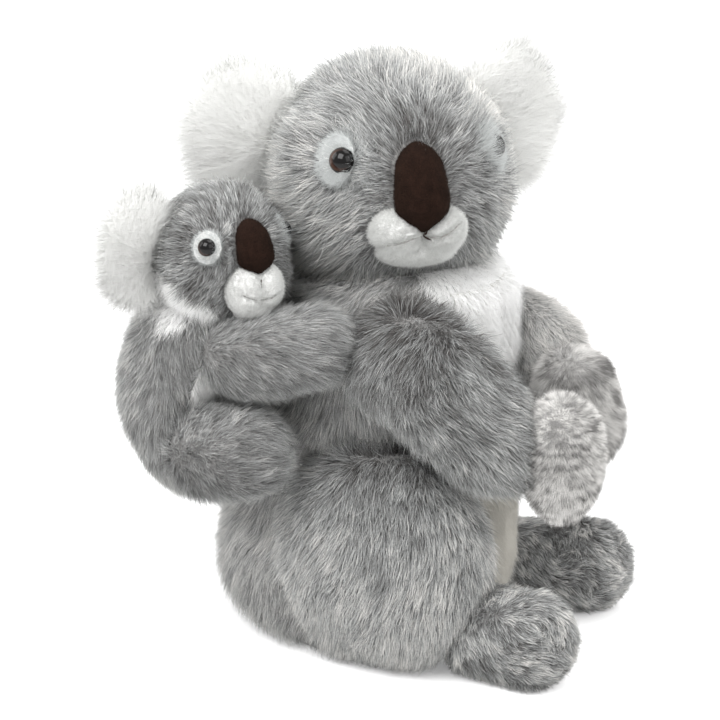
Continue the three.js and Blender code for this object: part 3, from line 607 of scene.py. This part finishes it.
# ---- places that the fur follows, most of them read off the photograph
DOWN = np.array([0.0, 0.0, -1.0])
MIRRORED = np.array([-1, 1, 1])
FACE, SMALL_FACE = middle("mother_nose"), middle("baby_nose")
EYES = {prefix: [middle(f"{prefix}_eye_{side}") for side in SIDES] for prefix in ("mother", "baby")}
NEAR_EYE, FAR_EYE = EYES["mother"]
SMALL_NEAR_EYE, SMALL_FAR_EYE = EYES["baby"]
FAR_SIDE = unit(FAR_EYE - NEAR_EYE)
BRIDGE = FAR_EYE + 7.5 * MM * TO_CAMERA
SMALL_BRIDGE = SMALL_FAR_EYE + 5 * MM * TO_CAMERA
HEAD = middle("mother_head")
BROW = seen_on("mother_head", 415, 130)
HOLLOW = seen_on("mother_head", 314, 250)
NAPE = seen_on("mother_body", 306, 285)
CHEST = seen_on("chest_panel", 500, 335)
WHORL = seen_on("mother_arm_right", 415, 320)
KNEE = seen_on("mother_leg_right", 388, 458)
HAND_WAY = middle("mother_hand_right") - middle("mother_arm_right")
OTHER_HAND_WAY = middle("mother_hand_left") - middle("mother_arm_left")
THIGH_WAY = np.array([-0.1, 0.25, -1.0])
CHEEK = [seen_on("baby_head", u, v) for u, v in ((166, 285), (174, 294), (186, 303), (198, 309))]
CHEEK += [seen_on("baby_body", u, v) for u, v in ((160, 304), (172, 314))]
WAIST = 95 * MM
EAR_ROOTS = {
    "mother_ear_right": (-0.0155, 0.01635, 0.222),
    "mother_ear_left": (0.03688, -0.04182, 0.222),
    "baby_ear_right": (-0.08806, 0.04347, 0.1915),
    "baby_ear_left": (-0.04981, 0.02313, 0.1935),
}
# Forms that part the fur round them: centre, then radius, fade and push
HEAD_AROUND = [
    (NEAR_EYE - FAR_SIDE * 4 * MM, 8.5, 4, 1.4),
    (FAR_EYE + FAR_SIDE * 7 * MM, 7, 3, 1.2),
    (middle("mother_muzzle"), 17, 6, 1.6),
]
SMALL_AROUND = [(SMALL_NEAR_EYE, 6, 3, 1.6), (middle("baby_muzzle"), 10, 4, 1.6)]


# ---- combs: the way of the fur
def from_point(centre):
    return lambda p, n: unit(p - centre)


def fanned(node):
    """Out from an ear's root, and a little upwards."""
    root = np.array(EAR_ROOTS[node])
    return lambda p, n: unit(unit(p - root) + np.array([0, 0, 0.12]))


def towards(vector):
    way = unit(np.array(vector, float))
    return lambda p, n: np.tile(way, (len(p), 1))


def spreading(centre, vector, near, far, half=None):
    """Away from a whorl close to it, or from a parting whose half length is given as a vector, and along one
    direction further off. Distances in millimetres."""
    way = unit(np.array(vector, float))

    def comb(p, n):
        away = p - centre + 5 * MM * drift(p, 8 * MM)
        if half is not None:
            away -= np.clip(away @ half / (half @ half), -1, 1)[:, None] * half
        share = np.clip((np.linalg.norm(away, axis=1) / MM - near) / (far - near), 0, 1)[:, None]
        return unit(away) * (1 - share) + way * share

    return comb


# ---- regions, shades and lengths over a node
def ragged(p, size):
    """A smooth random value at each point, for the edge of a region. The size is in millimetres."""
    return drift(p, size * MM)[:, 0]


def closeness(p, spot, size):
    """1 at a place, and less round it over a size in millimetres."""
    return np.exp(-((np.linalg.norm(p - spot, axis=1) / MM / size) ** 2))


def nearest_gap(p, spots):
    """Distance from each point to the nearest of some places."""
    return np.min([np.linalg.norm(p - spot, axis=1) for spot in spots], axis=0)


def on_bib(p, n):
    """The white front of the neck and chest, which narrows downwards."""
    straight_ahead = np.degrees(np.arctan2(-p[:, 0] - 0.002, -p[:, 1] - 0.02))
    angle = straight_ahead + 5 * ragged(p, 9) + 5 * ragged(p, 1.1)
    near = np.interp(p[:, 2] / MM, [80, 95, 110, 150, 175], [6, 20, 26, 34, 40])
    return (np.abs(angle) < near) & (p[:, 2] > 82 * MM)


def on_belly(p, n):
    """The pale front of the seat, an oval with a soft edge."""
    across = np.abs(p[:, 0]) / MM + 4 * ragged(p, 9) + 5 * ragged(p, 1.1)
    half = np.interp(p[:, 2] / MM, [10, 24, 50, 80, 96], [8, 20, 25, 24, 18])
    return (across < half) & (p[:, 2] < 92 * MM) & (p[:, 1] < -30 * MM)


def on_cheek(p, n):
    """The white fringe under the baby's ear."""
    edge = 7 + 3 * ragged(p, 5) + 4 * ragged(p, 0.9)
    return nearest_gap(p, CHEEK) < edge * MM


def round_eye(p, n):
    """The soft rim of an eye patch, where its pile runs out into the grey fur."""
    edge = 13 + 2 * ragged(p, 4) + 4 * ragged(p, 0.9)
    return nearest_gap(p, EYES["mother"]) < edge * MM


def close_to(spot, size):
    return lambda p, n: nearest_gap(p, [spot]) < (size + 3 * ragged(p, 0.9)) * MM


def head_shade(p, n):
    """Light tips over the crown, partly cream fur and partly painted light from above, and over the near cheek, and
    a dark streak over the nose.
    """
    way = unit(p - HEAD)
    # Partly painted light: the crown's tips are lighter towards the top of the head.
    crown = np.clip((way @ unit(np.array([0.42, -0.42, 0.8])) - 0.5) / 0.4, 0, 1)
    near_cheek = np.clip(-(way @ FAR_SIDE), 0, 1) * np.clip(0.6 - way[:, 2], 0, 1)
    from_face = np.clip((np.linalg.norm(p - FACE, axis=1) / MM - 30) / 20, 0, 1)
    light = 0.25 * crown * from_face + 0.03 + 0.2 * near_cheek + 0.3 * closeness(p, HOLLOW, 12)
    return light - 0.32 * closeness(p, BROW, 15) - 0.26 * closeness(p, FACE, 25)


def head_reach(p):
    """Shorter on the face, and longer in the hollow over the baby, along the low edge and over the far eye."""
    from_face = np.interp(np.linalg.norm(p - FACE, axis=1) / MM, [18, 50], [0.62, 1.15])
    low_edge = np.clip((192 - p[:, 2] / MM) / 12, 0, 1)
    return from_face * (1 + 0.8 * closeness(p, HOLLOW, 16) + 0.35 * low_edge + 0.9 * closeness(p, BRIDGE, 7))


def small_head_reach(p):
    return 1 + 0.9 * closeness(p, SMALL_FAR_EYE, 7)


def short_at_chest(p):
    return np.interp(np.linalg.norm(p - CHEST, axis=1) / MM, [22, 42], [0.5, 1])


def longer_below(height, most):
    """Ear fur that hangs longer from the lower edge. The height is in metres."""
    return lambda p: np.interp(p[:, 2], [height - 0.03, height], [most, 1.0])


def dark_at(spot, size, depth, floor_light):
    """Darker round a whorl, where the roots show, and painted light low down, as from the floor."""
    return lambda p, n: (
        # The floor_light term is painted light, lighter towards the bottom.
        floor_light * np.clip((spot[2] - p[:, 2]) / (70 * MM), 0, 1) - depth * closeness(p, spot, size)
    )


def rim_light(p, n):
    """Painted light: a lighter tint where the fur turns up towards the light."""
    return 0.8 * np.clip(n[:, 2], -0.4, 1)


def painted_light_and_seam_shade(seam, width):
    """Painted light under a muzzle and on its far side, and painted shade along its seam. The width is in
    millimetres.
    """

    def shade(p, n):
        light = 0.4 * np.clip(0.3 - n[:, 2], 0, 1) + 0.25 * np.clip(n @ TO_RIGHT, 0, 1)
        return light - 0.45 * np.exp(-((seam_gap(p, seam) / (width * MM)) ** 2))

    return shade


def over_rim(eye, inward):
    """Longer on one side of an eye, where the pile lies over its rim."""
    return lambda p: 1 + 0.9 * np.clip((p - eye) @ inward / (5 * MM), 0, 1)


# ---- kinds of fur: density per square centimetre, length, radius and patch in millimetres. Lift is the share of the
# skin's normal in a fibre's way at its root and tip, and soften the share of it in the fibre's shading.
FUR = dict(vary=0.22, wander=0.35, droop=0.12, clump=0.0, patch=9, stretch=(1, 1, 1), soften=0.55, rings="straight")
GREY = dict(FUR, density=210, length=10.5, radius=0.105, lift=(0.48, 0.26), clump=0.36, clump_count=26, tint=0.5,
            clump_tint=0.09, fibre_tint=0.16, patch_tint=0.08, stray=0.18, wander=0.28)
BABY = dict(GREY, density=230, length=8.5, clump_count=34, patch=5)
EAR = dict(FUR, density=820, length=12.5, vary=0.38, radius=0.075, lift=(0.48, 0.32), tint=0.55, fibre_tint=0.1,
           patch_tint=0.1, stray=0.46, wander=0.5, droop=0.0, soften=0.94)
HAND = dict(FUR, density=640, length=3.9, radius=0.105, lift=(0.78, 0.58), clump=0.3, clump_count=12, tint=0.56,
            clump_tint=0.12, fibre_tint=0.07, patch_tint=0.75, patch=3.2, stretch=(1, 1, 2.4), stray=0.18)
FAR_HAND = dict(HAND, density=520, length=6, lift=(0.66, 0.4), clump=0.5, tint=0.46, patch=8, patch_tint=0.4,
                stretch=(1, 1, 1.3))
FOOT = dict(GREY, density=300, length=6.8, clump=0.55, clump_count=18, clump_tint=0.13, patch=5, patch_tint=0.3,
            stray=0.24, wander=0.75, tint=0.54, rings="bent")
PILE = dict(FUR, density=1100, length=2.0, radius=0.1, lift=(0.9, 0.7), tint=0.6, fibre_tint=0.06,
            patch_tint=0.05, stray=0.2, droop=0, soften=0.93)
BIB = dict(GREY, density=420, length=11, radius=0.09, lift=(0.38, 0.16), clump=0.3, stray=0.26, soften=0.88,
           tint=0.9, comb=towards(DOWN), only=lambda p, n: p[:, 2] > WAIST)
FRINGE = dict(BIB, density=480, length=8.5, lift=(0.5, 0.25), tint=0.98, only=on_cheek)
LASHES = dict(PILE, density=420, length=4.5, lift=(0.5, 0.25), comb=from_point(NEAR_EYE), stray=0.3, only=round_eye)
VEIL = dict(PILE, density=820, radius=0.12, length=10.5, lift=(0.78, 0.55), stray=0.16, comb=towards(-BACK))
BELLY = dict(PILE, density=560, length=4.0, lift=(0.5, 0.2), comb=towards(DOWN), only=lambda p, n: p[:, 2] <= WAIST)

# Each node's coat, and the kind of fur it has
COATS = {
    "mother_head": ("grey", dict(GREY, density=240, length=11, lift=(0.42, 0.2), rings="bent", around=HEAD_AROUND,
                                 comb=spreading(FACE, DOWN, 70, 130), shade=head_shade, reach=head_reach)),
    "mother_body": ("grey", dict(GREY, density=180, comb=towards(DOWN), tint=0.7,
                                 only=lambda p, n: ~on_bib(p, n) & ~on_belly(p, n))),
    "mother_arm_right": ("grey", dict(GREY, density=240, rings="bent", tint=0.38, reach=short_at_chest,
                                      comb=spreading(WHORL, HAND_WAY, 16, 42, 15 * MM * unit(HAND_WAY)),
                                      shade=dark_at(WHORL, 28, 0.26, 0.08))),
    # The far arm's light tint is partly its pale tips and partly painted light for its lit upper edge; rim_light
    # paints more where it turns up.
    "mother_arm_left": ("grey", dict(GREY, comb=towards(OTHER_HAND_WAY), tint=0.88, shade=rim_light)),
    "mother_leg_right": ("grey", dict(GREY, density=240, rings="bent", tint=0.56, wander=0.16,
                                      comb=spreading(KNEE, THIGH_WAY, 12, 60, 18 * MM * TO_RIGHT),
                                      shade=dark_at(KNEE, 26, 0.36, 0.1))),
    "mother_leg_left": ("grey", dict(GREY, comb=spreading(KNEE * MIRRORED, THIGH_WAY * MIRRORED, 12, 60))),
    "mother_foot_right": ("grey", dict(FOOT, comb=towards((0, -1, -0.35)))),
    "mother_foot_left": ("grey", dict(FOOT, comb=towards((0.3, -1, -0.35)))),
    "mother_hand_right": ("hand", dict(HAND, comb=towards(DOWN))),
    "mother_hand_left": ("hand", dict(FAR_HAND, comb=towards(DOWN + np.array([0, -0.4, 0])))),
    "mother_ear_right": ("white", dict(EAR, reach=longer_below(0.225, 1.7), comb=fanned("mother_ear_right"))),
    "mother_ear_left": ("white", dict(EAR, reach=longer_below(0.225, 1.4), comb=fanned("mother_ear_left"))),
    "baby_head": ("grey", dict(BABY, density=330, length=7.5, rings="bent", tint=0.36, around=SMALL_AROUND,
                               comb=spreading(SMALL_FACE, DOWN, 40, 75), reach=small_head_reach,
                               only=lambda p, n: ~on_cheek(p, n))),
    "baby_body": ("grey", dict(BABY, comb=towards(DOWN), tint=0.56, only=lambda p, n: ~on_cheek(p, n))),
    "baby_arm_right": ("grey", dict(BABY, comb=towards((0.35, -1, -0.1)))),
    "baby_arm_left": ("grey", dict(BABY, comb=towards((1, 0, -0.1)))),
    "baby_leg_right": ("grey", dict(BABY, comb=towards((0.1, -1, 0.15)))),
    "baby_leg_left": ("grey", dict(BABY, comb=towards((1, 0, 0)))),
    "baby_ear_right": ("white", dict(EAR, length=11.5, vary=0.3, comb=fanned("baby_ear_right"))),
    "baby_ear_left": ("white", dict(EAR, length=8, comb=fanned("baby_ear_left"))),
}
# What grows among the coats: node, kind of fur, how, and the piece's name
TRIMS = (
    ("mother_body", "bib", dict(BIB, only=on_bib), "bib"),
    ("mother_body", "bib", dict(BIB, density=500, length=13, lift=(0.6, 0.5), comb=towards(UP - RIGHT),
                                only=close_to(NAPE, 8)), "nape"),
    ("mother_head", "patch", LASHES, "lashes"),
    ("mother_head", "grey", dict(GREY, density=260, length=7.5, lift=(0.5, 0.3), comb=towards(DOWN), tint=0.22,
                                 only=close_to(BROW, 5)), "brow"),
    ("mother_head", "patch", dict(VEIL, only=close_to(BRIDGE, 6.5)), "veil"),
    ("baby_head", "patch", dict(VEIL, density=700, length=8.5, only=close_to(SMALL_BRIDGE, 4.5)), "veil"),
    ("baby_body", "bib", FRINGE, "cheek"),
    ("baby_head", "bib", FRINGE, "cheek"),
    ("mother_body", "belly", dict(BELLY, length=6.5, only=on_belly), "belly"),
    ("chest_panel", "bib", BIB, "fur"),
    ("chest_panel", "belly", BELLY, "pile"),
)
# Sizes on each face: length and radius of its pile, its muzzle's voxels and rounds of smoothing, how wide the seam
# pulls the muzzle in, and how wide the painted shade along the seam darkens the pile
FACES = {"mother": (2.4, 0.1, 1.0, 24, 2.2, 1.5), "baby": (1.6, 0.08, 0.7, 18, 1.3, 0.9)}
SKINS = {}


def make_coats():
    for node, (look, spec) in COATS.items():
        SKINS[node] = skin(node, BACKINGS[look])
        add_fur(node, SKINS[node], look, spec)


def make_trims():
    SKINS["chest_panel"] = skin("chest_panel", "belly_skin", voxel=0.8, smooth=8)
    for node, look, spec, name in TRIMS:
        add_fur(node, SKINS[node], look, spec, name)
    small_belly = skin("baby_belly", "white_skin", voxel=0.8, smooth=4)
    add_fur("baby_belly", small_belly, "bib", dict(EAR, length=5, comb=towards(DOWN)))


def make_face(prefix):
    """The muzzle in one with its chin, the eye patches and the nose."""
    nose_middle = middle(f"{prefix}_nose")
    length, radius, voxel, smooth, seam_width, painted_shade_width = FACES[prefix]
    pile = dict(PILE, comb=from_point(nose_middle), length=length, radius=radius)
    creases = [pixels for name, pixels, _, look in MOUTHS if look == "crease" and prefix in name]
    seam = np.concatenate([sewn_path(prefix, pixels)[0] for pixels in creases])
    node = f"{prefix}_muzzle"
    piece = skin(node, "white_skin", voxel=voxel, smooth=smooth, also=(f"{prefix}_chin",), seam=seam,
                 width=seam_width)
    # The pile's tint holds painted light under the muzzle and painted shade along its seam.
    add_fur(node, piece, "pile", dict(pile, shade=painted_light_and_seam_shade(seam, painted_shade_width)), "pile")
    for side, eye in zip(SIDES, EYES[prefix]):
        node = f"{prefix}_eye_patch_{side}"
        piece = skin(node, "white_skin", voxel=0.55, smooth=3)
        reach = over_rim(eye, unit(nose_middle - eye))
        add_fur(node, piece, "patch", dict(pile, length=1.4 * length, lift=(0.7, 0.4), reach=reach), "pile")
    piece = skin(f"{prefix}_nose", "nose", voxel=0.7, smooth=20)
    nap = dict(pile, density=700, length=0.9, radius=0.07, tint=0.5, fibre_tint=0.25, patch_tint=0.3, patch=5)
    add_fur(f"{prefix}_nose", piece, "velour", nap, "pile")


# ---- stitches
def stitch(name, prefix, pixels, radius, look):
    """A line sewn into a muzzle: a thread on the pile, or along a crease a grey tube among the pile, which is
    painted shade.
    """
    path, normals = sewn_path(prefix, pixels)
    path = path + normals * SEWN_HEIGHTS[look] * MM
    for _ in range(4):
        path[1:-1] = (path[:-2] + 2 * path[1:-1] + path[2:]) / 4
    along = unit(np.gradient(path, axis=0))
    side = unit(np.cross(along, TO_CAMERA))
    over = np.cross(along, side)
    sides = 8
    angles = np.arange(sides) * 2 * math.pi / sides
    steps = np.arange(len(path))
    thickness = radius * MM * np.clip(np.minimum(steps, steps[::-1]) / 3, 0.15, 1)
    rings = path[:, None] + thickness[:, None, None] * (
        np.cos(angles)[None, :, None] * side[:, None] + np.sin(angles)[None, :, None] * over[:, None]
    )
    faces = [tuple(range(sides))[::-1], tuple(range((len(path) - 1) * sides, len(path) * sides))]
    for ring in range(len(path) - 1):
        for k in range(sides):
            a, b = ring * sides + k, ring * sides + (k + 1) % sides
            faces.append((a, b, b + sides, a + sides))
    mesh = bpy.data.meshes.new(name)
    mesh.from_pydata([tuple(v) for v in rings.reshape(-1, 3)], [], faces)
    rounded(mesh)
    add_mesh(name, mesh, MATERIALS[look], BODY[f"{prefix}_muzzle"])


# ---- eyes
def centroid(node):
    """The centre of a node's volume."""
    co, _, tris = arrays_of(NODES[node].data)
    corners = co[tris]
    volumes = np.einsum("ij,ij->i", corners[:, 0], np.cross(corners[:, 1], corners[:, 2]))
    return (corners.sum(1) / 4 * volumes[:, None]).sum(0) / volumes.sum()


def eye_material():
    """Moulded plastic with a dark pupil, a brown iris and a black rim."""
    material, tree, shader = new_material(
        "moulded_eye", 0.1, Specular_IOR_Level=0.15, Coat_Weight=0.2, Coat_Roughness=0.03
    )
    places = map_places(tree)

    def ring(centre, stops):
        gap = tree.nodes.new("ShaderNodeVectorMath")
        gap.operation = "DISTANCE"
        gap.inputs[1].default_value = centre
        tree.links.new(places, gap.inputs[0])
        return ramp(tree, gap.outputs["Value"], stops)

    brown = [(0, "#040303"), (0.22, "#060404"), (0.25, "#291c17"), (0.33, "#433129"), (0.42, "#362822")]
    iris = ring((0.49, 0.53, 0), brown)
    rim = ring((0.4, 0.5, 0), [(0.26, 1.0), (0.315, 0.05)])
    tree.links.new(mixed(tree, 1.0, iris, rim, "MULTIPLY"), shader.inputs["Base Color"])
    return material


# How large the iris lies on the map, and where the dome's middle is on it
IRISES = {"mother": (0.7, 0.4), "baby": (0.5, 0.44)}
SHANK = 0.36  # its radius as a share of the dome's
DOME_RINGS = 14


def add_eye(prefix, side, look):
    """A clear-coated dome on its shank. The pupil lies off the middle, towards the nose, as under a thick front."""
    node = f"{prefix}_eye_{side}"
    side_of_nose = 1 if side == "right" else -1
    co, _, _ = arrays_of(NODES[node].data)
    head, washer = centroid(node), centroid(f"{prefix}_eye_washer_{side}")
    axis = unit(head - washer)
    heights = (co - washer) @ axis
    radial = np.linalg.norm(co - washer - heights[:, None] * axis, axis=1)
    radius, top, back = radial.max(), heights.max(), heights.min()
    rim = heights[radial > radius * 0.97].min()  # where the dome starts
    across = unit(np.cross(np.array([0.0, 0.0, 1.0]), axis))
    over = np.cross(axis, across)
    shank = SHANK * radius
    slopes = np.linspace(math.pi / 2, 0, DOME_RINGS)
    profile = [(0, back), (shank, back), (shank, rim)]
    profile += [(radius * math.sin(a), rim + (top - rim) * math.cos(a)) for a in slopes]
    segments = 40
    point = 1e-9  # a ring with a smaller radius is one vertex
    verts, faces, offsets = [], [], []
    for r, h in profile:
        offsets.append(len(verts))
        if r < point:
            verts.append(washer + axis * h)
            continue
        for k in range(segments):
            turn = 2 * math.pi * k / segments
            verts.append(washer + axis * h + r * (math.cos(turn) * across + math.sin(turn) * over))
    for ring in range(len(profile) - 1):
        a, b = offsets[ring], offsets[ring + 1]
        for k in range(segments):
            after = (k + 1) % segments
            if profile[ring][0] < point:
                faces.append((a, b + after, b + k))
            elif profile[ring + 1][0] < point:
                faces.append((a + k, a + after, b))
            else:
                faces.append((a + k, a + after, b + after, b + k))
    mesh = bpy.data.meshes.new(node + "_dome")
    mesh.from_pydata([tuple(v) for v in verts], [], faces)
    rounded(mesh)
    uv = mesh.uv_layers.new(name="OFBake")
    places = np.array(verts) - washer
    scale, middle_at = IRISES[prefix]
    flat = np.stack([places @ across * side_of_nose, places @ over], 1)
    flat = flat / (2 * radius) * scale + np.array([middle_at, 0.5])
    index = np.zeros(len(mesh.loops), np.int32)
    mesh.loops.foreach_get("vertex_index", index)
    uv.data.foreach_set("uv", flat[index].ravel().astype(np.float32))
    mesh.update()
    piece = add_mesh(node + "_dome", mesh, look, BODY[node])
    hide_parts(node)


def plain_nodes():
    """Materials of the nodes that stay as they are: eye washers, pellet bag and the panel under it."""
    plastic, tree, shader = new_material("washer_plastic", 0.4)
    colour = ramp(tree, noise_node(tree, 400, 2), [(0.3, "#d9d9d7"), (0.7, "#e9e9e7")])
    tree.links.new(colour, shader.inputs["Base Color"])
    washers = [node for node in NODES if "washer" in node]
    for node in (*washers, "seat_panel", "pellet_bag"):
        NODES[node].data.materials.clear()
        NODES[node].data.materials.append(plastic if node in washers else MATERIALS["lining"])


# ---- studio
def is_seen(tree):
    """1 where the camera sees a surface, straight or through a shine or a clear piece, and 0 for its light."""
    path = tree.nodes.new("ShaderNodeLightPath")
    total = None
    for ray in ("Is Camera Ray", "Is Glossy Ray", "Is Transmission Ray"):
        if total is None:
            total = path.outputs[ray]
            continue
        add = tree.nodes.new("ShaderNodeMath")
        add.operation = "MAXIMUM"
        tree.links.new(total, add.inputs[0])
        tree.links.new(path.outputs[ray], add.inputs[1])
        total = add.outputs[0]
    return total


WORLD_LIGHT = 0.8
FLOOR_REACH, FLOOR_GREY, FLOOR_GLOW = 4, 0.86, 0.26
LAMPS_AT = Vector((0, -0.02, 0.13))
LAMPS = (  # name, azimuth and elevation in degrees, distance, size, power
    ("key", -95, 48, 1.5, 0.9, 21.0),
    ("fill", -20, 30, 1.7, 1.2, 9.0),
    ("top", 60, 70, 1.6, 1.0, 10.0),
    ("right_rim", 38, 28, 1.6, 1.0, 9.0),
    ("left_rim", -158, 30, 1.6, 1.0, 10.0),
    ("spark", -10, 38, 1.5, 0.07, 0.7),
)


def make_world():
    """White to the camera, and a softer white as light."""
    world = bpy.data.worlds.new("studio")
    bpy.context.scene.world = world
    world.use_nodes = True
    tree = world.node_tree
    light = tree.nodes["Background"]
    light.inputs["Color"].default_value = (1, 1, 1, 1)
    light.inputs["Strength"].default_value = WORLD_LIGHT
    seen = tree.nodes.new("ShaderNodeBackground")
    seen.inputs["Color"].default_value = (1, 1, 1, 1)
    seen.inputs["Strength"].default_value = 1.0
    mix = tree.nodes.new("ShaderNodeMixShader")
    tree.links.new(is_seen(tree), mix.inputs[0])
    tree.links.new(light.outputs[0], mix.inputs[1])
    tree.links.new(seen.outputs[0], mix.inputs[2])
    tree.links.new(mix.outputs[0], tree.nodes["World Output"].inputs[0])


def make_floor():
    """A white floor that takes the shadow. To the camera it glows a little, so that it ends up white."""
    floor_mesh = bpy.data.meshes.new("floor")
    corners = ((-1, -1), (1, -1), (1, 1), (-1, 1))
    floor_mesh.from_pydata([(FLOOR_REACH * x, FLOOR_REACH * y, 0) for x, y in corners], [], [(0, 1, 2, 3)])
    floor = bpy.data.objects.new("floor", floor_mesh)
    COLLECTION.objects.link(floor)
    material, tree, shader = new_material("floor", 1.0, Specular_IOR_Level=0.0)
    shader.inputs["Base Color"].default_value = (FLOOR_GREY, FLOOR_GREY, FLOOR_GREY, 1)
    glow = tree.nodes.new("ShaderNodeEmission")
    glow.inputs["Strength"].default_value = FLOOR_GLOW
    clear = tree.nodes.new("ShaderNodeEmission")
    clear.inputs["Strength"].default_value = 0.0
    switch = tree.nodes.new("ShaderNodeMixShader")
    tree.links.new(is_seen(tree), switch.inputs[0])
    tree.links.new(clear.outputs[0], switch.inputs[1])
    tree.links.new(glow.outputs[0], switch.inputs[2])
    add = tree.nodes.new("ShaderNodeAddShader")
    tree.links.new(shader.outputs[0], add.inputs[0])
    tree.links.new(switch.outputs[0], add.inputs[1])
    tree.links.new(add.outputs[0], tree.nodes["Material Output"].inputs[0])
    floor_mesh.materials.append(material)


def make_lamps():
    for name, turn, rise, distance, size, power in LAMPS:
        lamp = bpy.data.lights.new(name, "AREA")
        lamp.size = size
        lamp.energy = power
        holder = bpy.data.objects.new(name, lamp)
        way = direction(math.radians(turn), math.radians(rise))
        holder.location = LAMPS_AT + way * distance
        holder.rotation_euler = way.to_track_quat("Z", "Y").to_euler()
        COLLECTION.objects.link(holder)


make_camera()
make_world()
make_floor()
make_lamps()
bpy.context.scene.view_settings.view_transform = "Standard"
make_coats()
make_trims()
make_face("mother")
make_face("baby")
for name, pixels, radius, look in MOUTHS:
    stitch(name, name.split("_")[0], pixels, radius, look)
EYE_LOOK = eye_material()
for prefix in ("mother", "baby"):
    for side in SIDES:
        add_eye(prefix, side, EYE_LOOK)
plain_nodes()
